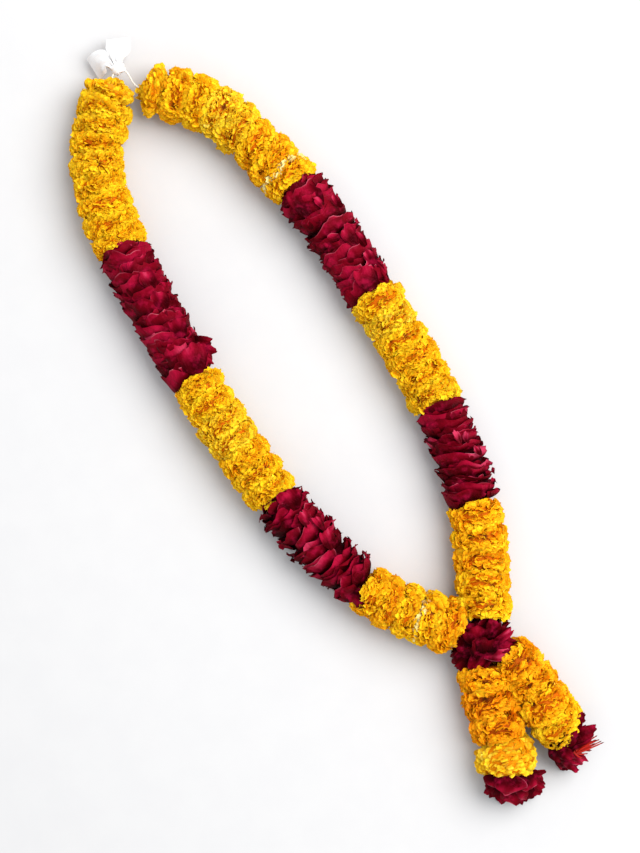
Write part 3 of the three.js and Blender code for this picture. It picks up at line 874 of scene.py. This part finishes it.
def laid_petals(rng, skin, petals, point, darker, pale=1.0):
    """Adds petals with a given root, tip and width each, arched and ruffled. point is how much shorter their
    sides are than their middles."""
    n = len(petals)
    roots, tips = (in_row_frame([p[k] for p in petals]) for k in (0, 1))
    half, roll, arch, curl, tone = np.array([p[2:] for p in petals], float).T[..., None, None]
    v, u = PETAL_ROWS, PETAL_COLUMNS
    way = tips - roots
    length = np.linalg.norm(way, axis=1)[:, None, None]
    flat = unit(np.cross(UP, way))
    side = outward(roll[:, 0, 0], flat, unit(np.cross(way, flat)))
    phase, second, third = rng.uniform(0, FULL_TURN, (3, n, 1, 1))
    waves = rng.uniform(1.2, 2.0, (n, 1, 1))
    grown = v * (1 - point * np.abs(u) ** 2.2 + 0.10 * u * np.sin(third) + 0.06 * np.sin(4.6 * u + second)
                 + 0.035 * np.sin(10.0 * u + third))
    ruffle = np.sin(waves * math.pi * u + phase)
    crease = np.abs(np.sin(waves * 1.5 * math.pi * u + third)) - 0.6
    hollow = rng.choice([-0.20, 0.14], (n, 1, 1))
    bend = rng.uniform(-0.22, 0.22, (n, 1, 1)) * length * grown ** 2
    lift = (0.5 * arch * np.sin(math.pi * np.minimum(grown, 1.0) * 0.9) + hollow * half * u ** 2 * grown
            + 1.3 * ruffle * grown ** 3 + 1.3 * crease * grown
            - curl * smooth_step(0.74, 1.0, grown) ** 2 * (0.5 + 0.5 * ruffle))
    grids = grids_from(
        roots, (grown + 0.02 * ruffle * grown ** 2, way),
        (half * u * petal_spread(grown, 0.34, 0.62) + bend, side), (lift, unit(np.cross(way, side))))
    # Painted highlight along the rims of some petals, weakened by pale
    rim = petal_rim() * (0.5 + 0.5 * ruffle) * (rng.random((n, 1, 1)) < 0.6) * pale
    tones = tone - darker + 0.20 * painted_petal_light(grown) + 0.14 * np.sin(5.0 * u + 3.0 * grown + third)
    # Painted shade along the rim where its ruffles dip
    dark = 0.5 * smooth_step(0.90, 1.0, v) * (ruffle < 0)
    top = 1 - smooth_step(0.88, 1.0, np.abs(u))
    skin.add_grids(grids, (grown, np.clip(tones, 0, 1), u, rim, dark, top))


# How petals of a stretch differ from its style: the least and the most, as shares of the style's own value
PETAL_RANGES = {
    "bow": (0.85, 1.15), "rise": (0.85, 1.15), "cup": (0.2, 1.6), "flare": (0.0, 1.5), "back": (-0.3, 1.5),
    "ruffle": (0.4, 1.5), "waves": (1.5, 3.0), "round": (0.6, 1.4), "fold": (0.2, 1.6),
}
BULGE_RANGE = (0.3, 1.5)

# Where a stretch's petals grow from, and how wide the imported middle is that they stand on
PETAL_ROOT = 6.0
MIDDLE_SHARE = 0.70


def rose_style(**own):
    """How a stretch is packed with roses, in its number of roses and the layers of each: how much nearer to
    the neck a layer starts, how much less far out its rims are, and its petals. stray is how far petals
    stray along the string, and overlap how much wider they are than their share of the circle. A petal's
    rim lies nearer to the neck than its root by lean, along a curve with the powers bow and rise. Its sides
    are lower by cup and shorter by round, its tips stand out by flare and curl back by back, and it has
    folds, ruffles, a bulge and a skew, and waves is how many ruffles. shear slants all rims from one side to
    the other. lap and crown are how far petals lap over the next head and over the head before."""
    usual = dict(
        roses=9, overlap=1.15, flare=1.6, back=1.6, fold=0.8, ruffle=1.7, waves=1.0, bow=1.7, round=0.20,
        bulge=0.3, shear=0.0, crown=6.0)
    return {**usual, **own}


ROSE_STYLES = {
    "left_rose_upper": rose_style(
        layers=[(0, 0, 4), (6.0, 0.6, 4), (9.0, 0.2, 3)], lean=15.0, cup=1.8, fold=1.0, ruffle=1.4,
        tone=0.52, radius=ROSE_RADIUS - 1.6, rise=0.24, skew=0.20, stray=2.5, bulge=0.4, shear=0.20, lap=8.0),
    "right_rose_upper": rose_style(
        layers=[(0, 0, 4), (5.0, 0.6, 4), (8.5, 0.2, 3)], lean=13.5, cup=1.6, fold=1.2, tone=0.51,
        radius=ROSE_RADIUS - 1.6, rise=0.26, round=0.16, skew=0.18, stray=2.3, bulge=0.4, lap=9.0),
    "left_rose_lower": rose_style(
        layers=[(0, 0, 4), (5.2, 0.7, 4)], lean=12.0, cup=1.2, flare=1.8, back=2.6, ruffle=2.0, tone=0.53,
        radius=ROSE_RADIUS - 1.4, bow=1.3, rise=0.32, round=0.15, skew=0.26, stray=1.7, lap=4.0, crown=5.0),
    "right_rose_lower": rose_style(
        roses=10, layers=[(0, 0, 3), (4.2, 0.6, 4)], overlap=1.18, lean=11.0, cup=1.0, flare=1.4, tone=0.55,
        radius=ROSE_RADIUS - 1.5, bow=1.5, rise=0.30, skew=0.10, stray=1.5, shear=0.25, lap=7.0, crown=4.0),
}

# Single petals, laid where the photo shows them: where each grows from, its tip, half its width, its roll
# about its length, how much it arches, how much its rim curls and its tone. The lightest tones are painted
# highlights.
JOINING_PETALS = [
    ((15.1, -228.9, 36), (18.6, -211.3, 43), 11, 0, 3, 2, 0.50),
    ((23.0, -232.9, 34), (40.1, -217.0, 40), 8, 0.3, 2, 2, 0.28),
    ((25.6, -235.8, 32), (44.2, -226.1, 36), 7, -0.3, 2, 2, 0.25),
    ((23.4, -231.6, 38), (46.5, -234.9, 41), 4, 0.2, 2, 0, 0.84),
    ((19.3, -235.5, 36), (39.5, -240.3, 38), 6, 0, 3, 1, 0.50),
    ((14.6, -239.5, 38), (22.5, -225.0, 46), 12, 0, 2, 3, 0.28),
    ((10.3, -240.3, 36), (12.0, -220.9, 44), 8, 0, 2, 3, 0.24),
    ((13.5, -237.9, 38), (33.1, -247.6, 38), 6, -0.2, 3, 0, 0.95),
    ((11.0, -230.2, 38), (4.0, -245.9, 34), 8, 0, 3, 0, 0.56),
    ((6.8, -229.0, 36), (-3.2, -217.4, 32), 7, 0.2, 2, 1, 0.25),
    ((5.2, -230.2, 35), (-13.6, -235.2, 28), 6, -0.4, 2, 1.5, 0.38),
    ((4.3, -226.8, 34), (-13.0, -227.7, 26), 6, 0, 2, 1, 0.3),
    ((20.8, -227.0, 30), (8.8, -209.1, 34), 8, 0, 2, 1, 0.35),
    ((22.3, -243.2, 30), (33.2, -256.5, 26), 7, 0, 2, 1, 0.5),
    ((11.1, -236.5, 30), (-4.7, -243.2, 24), 7, 0, 2, 1, 0.42),
]

RIGHT_END_PETALS = [
    ((28.9, -336.0, 30), (63.0, -329.3, 34), 8, 0.3, 2, 1, 0.42),
    ((29.0, -338.4, 34), (66.2, -342.0, 36), 7, -0.2, 2, 1, 0.5),
    ((29.1, -341.5, 34), (57.1, -349.2, 34), 6, 0.3, 2, 0.5, 0.58),
    ((29.0, -344.3, 30), (46.4, -363.5, 22), 5, 0, 2, 0.5, 0.8),
    ((28.2, -343.4, 32), (38.6, -365.6, 24), 5, 0.2, 2, 0.5, 0.72),
    ((27.2, -342.2, 30), (28.6, -369.6, 20), 6, 0.4, 2, 0.5, 0.58),
    ((26.7, -340.6, 26), (22.5, -364.2, 14), 7, -0.2, 2, 1, 0.38),
    ((26.7, -331.9, 34), (50.6, -325.2, 38), 8, 0.2, 3, 1.5, 0.4),
    ((25.9, -336.0, 37), (48.3, -341.4, 42), 7, 0.4, 2, 1, 0.34),
    ((26.1, -339.5, 35), (36.2, -354.2, 38), 6, 0.3, 2, 0.5, 0.62),
    ((24.9, -335.3, 32), (22.1, -355.6, 24), 8, 0.1, 2, 1, 0.4),
    ((27.4, -342.7, 12), (59.2, -338.4, 4), 9, 0, 2, 0.5, 0.35),
    ((26.6, -344.7, 10), (55.4, -357.1, 3), 9, 0, 2, 0.5, 0.42),
    ((25.7, -346.2, 10), (31.0, -368.4, 3), 9, 0, 2, 0.5, 0.38),
    ((28.4, -343.2, 18), (59.5, -347.2, 14), 9, 0, 2, 0.5, 0.4),
    ((26.6, -346.2, 18), (35.8, -368.4, 12), 8, 0, 2, 0.5, 0.45),
]
LEFT_END_PETALS = [
    ((-22.5, -339.9, 30), (-44.0, -334.0, 26), 6, 0.2, 2, 1, 0.36),
    ((-16.0, -342.8, 30), (4.9, -357.8, 28), 5, 0.2, 2, 1, 0.44),
    ((-17.4, -345.0, 30), (-0.5, -367.7, 24), 7, -0.2, 2, 1, 0.55),
    ((-23.4, -341.4, 30), (-47.4, -341.6, 24), 7, 0.1, 2, 1, 0.42),
    ((-18.4, -342.5, 34), (-30.2, -363.8, 26), 19, 0, 2, 1, 0.52),
    ((-24.4, -338.5, 36), (-40.4, -353.1, 28), 12, 0.1, 2, 2, 0.58),
    ((-12.4, -345.7, 36), (-15.4, -366.0, 28), 11, -0.1, 2, 2, 0.62),
    ((-20.1, -339.0, 41), (-27.5, -353.3, 39), 15, 0.1, 2, 2.5, 0.76),
    ((-10.4, -345.3, 39), (-9.6, -359.4, 37), 9, -0.1, 2, 2, 0.66),
    ((-29.9, -333.8, 38), (-40.8, -338.8, 36), 9, 0.1, 2, 2, 0.44),
    ((-19.6, -344.2, 18), (-46.3, -341.8, 12), 10, 0, 2, 0.5, 0.38),
    ((-18.8, -344.7, 18), (1.5, -365.3, 12), 10, 0, 2, 0.5, 0.4),
    ((-20.0, -345.4, 16), (-25.4, -368.8, 12), 11, 0, 2, 0.5, 0.48),
    ((-20.1, -346.6, 10), (-43.9, -356.4, 4), 11, 0, 2, 0.5, 0.4),
    ((-19.3, -347.1, 10), (-9.3, -373.0, 4), 11, 0, 2, 0.5, 0.4),
]
STRETCH_PETALS = {
    "right_rose_upper": [
        ((84.5, 164.4, 41), (88.4, 196.3, 43), 15, 0, 4, 1.5, 0.5),
        ((95.1, 166.9, 43.5), (92.8, 180.0, 46), 4, 0.5, 2, 1, 0.8),
        ((108.7, 160.9, 42), (106.4, 174.0, 45), 4, -0.4, 2, 1, 0.74),
        ((102.5, 127.0, 43), (100.3, 145.3, 45), 7, 0.1, 3, 1.5, 0.68),
        ((109.2, 121.1, 41.5), (106.6, 135.5, 44), 5, -0.5, 2, 1, 0.76),
        ((108.6, 103.3, 41), (105.3, 118.1, 44), 5, -0.3, 2, 1, 0.76),
        ((95.4, 84.7, 42), (94.7, 107.3, 44), 10, 0.1, 3, 1.5, 0.66),
        ((103.8, 105.0, 32), (115.0, 81.0, 31), 5, 0.2, 2, 1.5, 0.46),
        ((104.2, 112.5, 36), (114.2, 92.1, 38), 5, 0.3, 2, 1.5, 0.55),
        ((94.2, 96.0, 38), (105.2, 78.5, 34), 6, 0, 2, 1, 0.5),
        ((85.7, 85.1, 34), (72.1, 75.6, 24), 6, 0.1, 2, 1, 0.26),
        ((84.0, 92.4, 32), (69.3, 84.6, 22), 6, 0, 2, 1, 0.22),
        ((85.5, 122.1, 32), (70.9, 116.3, 24), 5, 0, 2, 1, 0.26),
    ],
    "left_rose_upper": [
        ((-68.8, 184.3, 43), (-66.6, 201.1, 45), 8, 0.1, 3, 1.5, 0.72),
        ((-75.4, 205.6, 42), (-75.3, 215.5, 44), 4, 0.3, 2, 1, 0.78),
        ((-68.1, 163.6, 43), (-66.6, 180.8, 45), 8, -0.1, 3, 1.5, 0.66),
        ((-66.7, 135.4, 43), (-66.5, 152.4, 44.5), 8, -0.2, 3, 1.5, 0.66),
        ((-73.3, 100.9, 42.5), (-67.0, 126.4, 44.5), 13, 0.05, 4, 1.5, 0.66),
        ((-66.3, 127.7, 30), (-53.3, 108.7, 29), 7, 0.2, 2, 1.5, 0.42),
        ((-65.0, 133.0, 32), (-54.1, 117.2, 32), 6, 0.2, 2, 1.5, 0.46),
        ((-71.2, 122.2, 36), (-57.4, 104.9, 32), 6, 0, 2, 1, 0.48),
        ((-82.8, 106.9, 32), (-97.6, 95.6, 22), 6, 0, 2, 1, 0.24),
        ((-83.9, 113.8, 30), (-100.5, 104.6, 20), 6, 0.2, 2, 1, 0.22),
        ((-85.7, 121.0, 30), (-102.9, 114.3, 20), 6, 0.1, 2, 1, 0.22),
    ],
    "left_rose_lower": [
        ((-61.2, -44.3, 42), (-58.4, -24.6, 45), 10, 0.1, 3, 1.5, 0.62),
        ((-58.1, -64.4, 43), (-57.8, -47.2, 45.5), 6, 0.5, 2, 1, 0.76),
        ((-49.3, -71.7, 42), (-49.7, -57.2, 45.5), 4, 0.6, 2, 1, 0.74),
        ((-51.1, -89.9, 43), (-50.4, -71.9, 45.5), 7, 0.4, 3, 1, 0.7),
        ((-47.9, -133.6, 40), (-61.9, -140.1, 34), 10, 0, 3, 1, 0.42),
        ((-53.2, -125.7, 36), (-67.5, -134.3, 28), 8, 0.1, 3, 1, 0.3),
    ],
    "right_rose_lower": [
        ((91.6, -68.2, 44), (91.5, -56.0, 48), 4, 0.6, 2, 1, 1),
        ((96.9, -71.3, 43), (97.8, -60.8, 47), 3.5, -0.5, 2, 1, 0.95),
        ((101.3, -86.2, 42), (100.7, -76.6, 44.5), 3, -0.2, 2, 1, 0.84),
    ],
}

# The seed of each end rose, and the petals that the photo shows on it
END_ROSES = {"left_end_rose": (5, LEFT_END_PETALS), "right_end_rose": (6, RIGHT_END_PETALS)}


def stretch_petals(rng, length, style):
    """Values for each petal of a stretch: roses in order from the neck, and for each its layers of petals,
    of which the outer one is broad and the inner ones show past its rim, nearer to the neck."""
    rows = []
    step = length / style["roses"]
    for rose in range(style["roses"]):
        base = (rose + 1) * step + rng.normal(0, 0.08 * step)
        size = rng.normal(0, 0.5)
        for layer, (ahead, inside, count) in enumerate(style["layers"]):
            first = rng.uniform(0, FULL_TURN)
            for index in range(count):
                rows.append((
                    base - ahead + rng.normal(0, style["stray"]),
                    first + (index + rng.uniform(-0.22, 0.22)) / count * FULL_TURN,
                    math.pi / count * style["overlap"] * rng.uniform(0.85, 1.2),
                    style["radius"] - inside + size + rng.normal(0, 0.6),
                    rng.normal(style["tone"] - 0.05 * layer, 0.15)))
    place, turn, half, rim, tone = np.array(rows).T
    place = np.clip(place, 1.5, length - 0.4)
    n = len(place)
    lean = np.minimum(style["lean"] * rng.uniform(0.8, 1.2, n), np.maximum(place - 0.5, 1.0))
    petals = {key: style[key] * rng.uniform(*reach, n) for key, reach in PETAL_RANGES.items()}
    petals["skew"] = rng.normal(0, style["skew"], n)
    petals["bulge"] = style["bulge"] * rng.uniform(*BULGE_RANGE, n)
    petals["shear"] = style["shear"] * smooth_step(0.0, 0.4 * length, place)
    petals["tone"] = np.clip(tone, 0.05, 0.85)
    petals.update(along=place, turn=turn, half=half, lean=lean, rim=rim, root=PETAL_ROOT)
    return petals


def rose_stretch(name, line, start, length):
    """Petals threaded tight on a stretch of string, their free rims towards the neck like roof tiles."""
    style = ROSE_STYLES[name]
    rng = np.random.default_rng(sum(map(ord, name)))
    skin = Skin(PETAL_VALUES)
    petals = stretch_petals(rng, length, style)
    along, angle, out, values = petal_places(rng, petals)

    # The neck's end is domed, and laps over the head before it on top
    along = np.clip(along, 0.15 + 7.0 * np.abs(np.cos(angle)) ** 3, length + 2.0)
    begun = 1 - smooth_step(0.0, 12.0, along)
    crown = np.maximum(np.sin(angle), 0) ** 1.5 * begun
    out = out * (1 - 0.20 * begun ** 2) + 5.0 * crown
    uneven = 0.5 + 0.5 * np.sin(5.0 * angle + petals["along"][:, None, None])
    along = along - style["crown"] * crown * uneven

    # The other end narrows, and laps over the next head at one side
    ended = smooth_step(length - 8.0, length + 2.0, along)
    lap = np.maximum(-np.cos(angle), 0) ** 1.5 * smooth_step(length - 26.0, length, along)
    out = out * (1 - 0.22 * ended * (1 - np.minimum(1.6 * lap, 1))) + 1.6 * lap
    along = along + style["lap"] * lap
    planes = line.plane(start + along)
    skin.add_grids(planes.centre + out[..., None] * outward(angle, planes.across, planes.upward), values)
    laid_petals(rng, skin, STRETCH_PETALS[name], point=0.26, darker=0.04, pale=0.4)

    # The imported middle, its values giving it the petals' painted root shade and edge shade
    places = np.linspace(0, length, max(int(length / 5), 6))
    planes = line.plane(start + np.clip(places, 0.3, length - 0.3))
    wide = np.full(len(places), style["radius"] * MIDDLE_SHARE)
    wide[[0, -1]] = 0.5
    middle = rings(planes.centre, wide, planes.across, planes.upward, 20)
    skin.add_grids(middle[None], (0.3, 0.1, 0.0, 0.0, 0.3, 0.0), closed=True)
    skin.piece(f"petals_{name}", name, "rose")


# How much petals in a ring differ, as a share of each value
PETAL_JITTER = 0.15


def ring_of_petals(rng, count, **own):
    """Values for petals evenly round a rose's axis: the usual ones and the ring's own."""
    turn = rng.uniform(0, 6)
    usual = dict(root=3.0, bow=1.2, rise=0.8, cup=1.0, flare=0.5, back=0.5, ruffle=1.0, waves=1.6, round=0.25,
                 fold=1.0, skew=0.0, bulge=0.5, shear=0.0)
    petals = {key: value * rng.uniform(1 - PETAL_JITTER, 1 + PETAL_JITTER, count)
              for key, value in {**usual, **own}.items()}
    petals["turn"] = turn + circle(count) + rng.normal(0, PETAL_JITTER, count)
    petals["tone"] = np.clip(petals["tone"] + rng.normal(0, 0.13, count), 0, 0.95)
    return petals


def whole_rose(rng, plane, petal_rings, flatness):
    """The skin of a rose that grows along its own axis from a plane. It is as high as flatness times its
    width."""
    skin = Skin(PETAL_VALUES)
    for petals in petal_rings:
        place, angle, out, values = petal_places(rng, petals)
        way = outward(angle, plane.across, flatness * plane.upward)
        skin.add_grids(plane.centre + place[..., None] * plane.along + out[..., None] * way, values)
    return skin


# The joining rose: its axis from the strands to the tassels, how flat it lies, its rings of petals (place on
# the axis, how far out the rims are, lean towards the strands, tone) and its core's rings (place, radius)
JOINING_AXIS = [(19, -208, STRING_HEIGHT), (19, -250, STRING_HEIGHT)]
JOINING_FLATNESS = 0.66
JOINING_RINGS = [
    (12, 22, 9, 0.30), (17, 25, 10, 0.28), (22, 26, 9, 0.40), (27, 26, 7, 0.36), (24, 25, -8, 0.32),
    (29, 23, -8, 0.40),
]
JOINING_CORE = [(1, 1), (3, 15), (9, 21), (21, 23), (33, 20), (39, 12), (41, 1)]


def joining_rose():
    """The rose that both strings pass through, squeezed so that it lies wide across them."""
    rng = np.random.default_rng(41)
    start, end = in_row_frame(JOINING_AXIS)
    plane = CrossPlane(start, end - start)
    petal_rings = [
        ring_of_petals(rng, 7, along=place, half=0.75, lean=lean, rim=rim, tone=tone, cup=1.2, flare=1.0,
                       back=1.0, ruffle=1.4, rise=0.5)
        for place, rim, lean, tone in JOINING_RINGS]
    skin = whole_rose(rng, plane, petal_rings, JOINING_FLATNESS)
    laid_petals(rng, skin, JOINING_PETALS, point=0.22, darker=0.10)
    # The core; its values give it the petals' painted root shade and edge shade
    ring = outward(circle(24), plane.across, JOINING_FLATNESS * plane.upward)
    core = np.array([start + place * plane.along + radius * ring for place, radius in JOINING_CORE])
    skin.add_grids(core[None], (0.4, 0.15, 0.0, 0.0, 0.2, 0.0), closed=True)
    skin.piece("petals_joining_rose", "joining_rose", "rose")


# An end rose: how far before its solid its axis starts, how flat it lies, and its inner rings (place on the
# axis, petals, how far out the rims are, how far they open away from the string as a share of the rose's
# length, tone)
END_BEFORE = 5.0
END_FLATNESS = 0.95
END_RINGS = [(4.0, 7, 19, 0.21, 0.30), (6.0, 6, 16, 0.294, 0.36)]


def end_rose(name, start, end):
    """A tassel's end rose, opened away from the string like a cup, with the petals that the photo shows."""
    seed, petals = END_ROSES[name]
    rng = np.random.default_rng(seed)
    length = np.linalg.norm(end.centre - start.centre)
    petal_rings = [
        ring_of_petals(rng, count, along=place, half=0.62, lean=-opening * length, rim=rim, tone=tone,
                       bow=1.5, rise=0.75, cup=1.6, flare=0.6, back=-1.0, ruffle=1.6, skew=0.1)
        for place, count, rim, opening, tone in END_RINGS]
    plane = CrossPlane(start.centre - END_BEFORE * start.along, start.along)
    skin = whole_rose(rng, plane, petal_rings, END_FLATNESS)
    laid_petals(rng, skin, petals, point=0.42, darker=0.14)
    skin.piece(f"petals_{name}", name, "rose")


# Filaments, string and ribbon

def tube(skin, points, radii, sides, grow):
    """A tube along points, closed where its radii draw in to a point at its ends."""
    along = unit(np.gradient(points, axis=0))
    across = unit(np.cross(along, np.where(np.abs(along[:, 2:]) > 0.9, [[1.0, 0, 0]], UP[None])))
    grid = rings(points, radii, across, np.cross(across, along), sides)
    skin.add_grids(grid[None], (grow[:, None], 0.5, 0.0), closed=True)


# Where the filaments stand, and where each of their bunches points to, with its number of filaments
FILAMENT_ROOT = (38.6, -352.1, 30)
FILAMENT_BUNCHES = [((64.9, -352.6, 31), 9), ((51.6, -358.3, 28), 5), ((43.6, -362.4, 24), 3)]


def filaments():
    """Red filaments with dark tips, fanned out of the open middle of the right tassel's end rose."""
    rng = np.random.default_rng(8)
    skin = Skin()
    t = np.linspace(0, 1, 15)
    radii = 1.25 - 0.80 * t ** 0.7
    radii[-3:] = (0.44, 0.56, 0.05)
    root = in_row_frame(FILAMENT_ROOT)
    for tip, count in FILAMENT_BUNCHES:
        for _ in range(count):
            way = (in_row_frame(tip) - root) * rng.uniform(0.7, 1.0) + rng.normal(0, 1.9, 3)
            bend = 0.6 * rng.normal(0, 2.4, 3)
            start = root + rng.normal(0, 0.8, 3)
            tube(skin, start + np.outer(t, way) + np.outer(np.sin(math.pi * t), bend), radii, 6, t)
    skin.piece("filaments_right_end_rose", "end_rose_filaments", "filament")


# The string: its radius, its plies and how thick each is beside it, and the length that a ply's turn takes
STRING_RADIUS = 1.0
PLIES = 3
PLY_SHARE = 0.54
PLY_PITCH = 7.0
STRING_STEP = 2.0


def twisted_string(points):
    """Plies of cotton twisted round the string's line."""
    line = Line(points)
    steps = int(line.length / STRING_STEP)
    distance = np.linspace(0, line.length, steps)
    planes = line.plane(distance)
    skin = Skin()
    ply = STRING_RADIUS * PLY_SHARE
    radii = np.full(steps, ply)
    radii[[0, -1]] = 0.1
    for index in range(PLIES):
        turn = (distance / PLY_PITCH + index / PLIES) * FULL_TURN
        route = planes.centre + (STRING_RADIUS - ply) * outward(turn, planes.across, planes.upward)
        tube(skin, route, radii, 5, distance / line.length)
    skin.piece("cotton_string", "string", "string")


# The ribbon at the neck: the middle line of each tail from the knot on, its width there as a share of all of
# it, how deep it is pleated there, and the knot's two turns (tilt, radius, phase)
RIBBON_WIDTH = 22.0
RIBBON_TAILS = {
    "ribbon_tail_left": [(2, 370, 22), (0.2, 378.5, 25), (-7, 381.5, 21), (-15.4, 381.7, 10)],
    "ribbon_tail_right": [(5, 371, 23), (9, 378, 26), (14, 385, 23), (18, 393, 14)],
}
DRAWN_WIDTH = 0.36
PLEAT_DEPTH = 2.2
KNOT_CENTRE = in_row_frame([4, 369, 21.5])
KNOT_TURNS = [(0.0, 6.2, 0.0), (0.9, 5.4, 1.5)]


def ribbon_tail(name, points):
    """A tail of ribbon, drawn together in pleats at the knot, that opens out to its square end."""
    line = Line(curve_through(in_row_frame(points), 30))
    rows = np.linspace(0, line.length, 40)
    planes = line.plane(rows)
    u = np.linspace(-1, 1, 17)
    share = (rows / line.length)[:, None]
    half = RIBBON_WIDTH / 2 * (DRAWN_WIDTH + (1 - DRAWN_WIDTH) * smooth_step(0.0, 0.55, share))
    pleat = PLEAT_DEPTH * (1 - smooth_step(0.0, 0.8, share)) * np.cos(3 * math.pi * u)
    lift = pleat + 0.5 * np.sin(5 * share) * u
    grid = (planes.centre[:, None] + (half * u)[..., None] * planes.across[:, None]
            + lift[..., None] * planes.upward[:, None])
    skin = Skin()
    skin.add_grids(grid[None], (share, 0.5, u))
    made = skin.piece(name, "neck_ribbon", "ribbon")


def ribbon_knot():
    """The ribbon's turns round the string, drawn in to a small knot."""
    skin = Skin()
    u = np.linspace(-1, 1, 11)
    turns = circle(32)
    for tilt, size, way in KNOT_TURNS:
        rows = []
        for angle in turns:
            out = np.array([math.cos(angle), 0.0, math.sin(angle)])
            centre = out * np.array([size, 1.0, size * 0.85])
            width = 4.6 + 0.8 * math.sin(2 * angle + way)
            crease = 0.55 * np.cos(2.5 * math.pi * u + angle)
            rows.append(centre + np.outer(u * width, [0, 1, 0]) + np.outer(crease - 1.3 * u ** 2, out))
        spin = np.array(Matrix.Rotation(tilt + way * 0.5, 3, "Z"))
        grid = np.array(rows) @ spin.T + KNOT_CENTRE
        skin.add_grids(np.swapaxes(grid, 0, 1)[None], (turns / 6.3, 0.5, u[:, None]), closed=True)
    skin.piece("ribbon_knot", "neck_ribbon", "ribbon")


# The garland

# How far from the tassel's end the string stops, inside the end rose
STRING_STOP = 13.0


def thread(stretches, route, side):
    """All flowers on one string. Returns the points that the string passes through."""
    line = Line(curve_through(in_row_frame([(x, y, STRING_HEIGHT) for x, y in route]), 60, 0.5))
    distance = 0.0
    numbers = {}
    points = [line.at(distance)]
    for name, kind, count, length in stretches:
        planes = [line.plane(place) for place in distance + np.arange(count + 1) * length / count]
        if "head" in kind:
            first = numbers.get(name, 0) + 1
            add_heads(name, first, planes, side, kind == "last head")
            numbers[name] = first + count - 1
        elif kind == "roses":
            rose_stretch(name, line, distance, length)
        elif kind == "end rose":
            end_rose(name, *planes)
        steps = max(int(length / 4), 2)
        points += list(line.at(np.linspace(distance, distance + length, steps + 1)[1:]))
        distance += length
    end = planes[-1].centre
    return np.array([p for p in points if np.linalg.norm(p - end) > STRING_STOP])


left_points = thread(LEFT_STRETCHES, LEFT_ROUTE, 1)
right_points = thread(RIGHT_STRETCHES, RIGHT_ROUTE, -1)
joining_rose()
filaments()
neck_points = in_row_frame([(x, y, STRING_HEIGHT) for x, y in NECK_BEND])
twisted_string(curve_through(np.vstack([left_points[::-1], neck_points, right_points]), 4))
for tail_name, tail_points in RIBBON_TAILS.items():
    ribbon_tail(tail_name, tail_points)
ribbon_knot()


# Floor, light and camera

# The photo: how far its upright is turned from +Y, the size of a pixel and its height in pixels. The ways
# to its right, up it and out of it, and its middle, are in the row frame
TURN = math.radians(31)
PIXEL = 0.88 * MM
IMAGE_HEIGHT = 853
IMAGE_RIGHT = Vector((math.cos(TURN), -math.sin(TURN), 0.0))
IMAGE_UP = Vector((math.sin(TURN), math.cos(TURN), 0.0))
TOWARD_CAMERA = Vector((0.0, 0.0, 1.0))
LOOKED_AT = Vector((-13.69 * MM, -2.94 * MM, STRING_HEIGHT * MM))
CAMERA_DISTANCE = 1.7

# The floor's corners from its middle, and how far it lies below the garland, in metres
FLOOR_CORNERS = [(-4, -4), (4, -4), (4, 4), (-4, 4)]
FLOOR_DEPTH = 0.0003

# The key light's way, distance, size, power and colour, and the colour and strength of the light all round
KEY_WAY = IMAGE_RIGHT * 0.56 + IMAGE_UP * 0.34 + TOWARD_CAMERA
KEY_DISTANCE = 2.2
KEY_SIZE = 2.1
KEY_POWER = 68.0
KEY_COLOR = (1.0, 0.99, 0.975)
SKY_COLOR = (0.97, 0.985, 1.0, 1.0)
SKY_STRENGTH = 0.80

ground = bpy.data.meshes.new("floor")
ground.from_pydata([(x, y, -FLOOR_DEPTH) for x, y in FLOOR_CORNERS], [], [(0, 1, 2, 3)])
floor = placed_object("floor", ground)
floor.data.materials.append(floor_material())

lamp = bpy.data.lights.new("key_light", "AREA")
lamp.shape = "DISK"
lamp.size = KEY_SIZE
lamp.energy = KEY_POWER
lamp.color = KEY_COLOR
key_light = placed_object("key_light", lamp)
key_light.location = LOOKED_AT + KEY_WAY.normalized() * KEY_DISTANCE
key_light.rotation_euler = (-KEY_WAY).to_track_quat("-Z", "Y").to_euler()

world = bpy.data.worlds.new("studio")
world.use_nodes = True
background = world.node_tree.nodes["Background"]
background.inputs["Color"].default_value = SKY_COLOR
background.inputs["Strength"].default_value = SKY_STRENGTH
bpy.context.scene.world = world

view = bpy.data.cameras.new("camera")
view.lens = view.sensor_width * CAMERA_DISTANCE / (IMAGE_HEIGHT * PIXEL)
view.clip_start = 0.05
view.clip_end = 20.0
camera = placed_object("camera", view)
axes = Matrix((IMAGE_RIGHT, IMAGE_UP, TOWARD_CAMERA)).transposed()
camera.matrix_world = Matrix.Translation(LOOKED_AT + TOWARD_CAMERA * CAMERA_DISTANCE) @ axes.to_4x4()
bpy.context.scene.camera = camera
bpy.context.scene.view_settings.view_transform = "Standard"
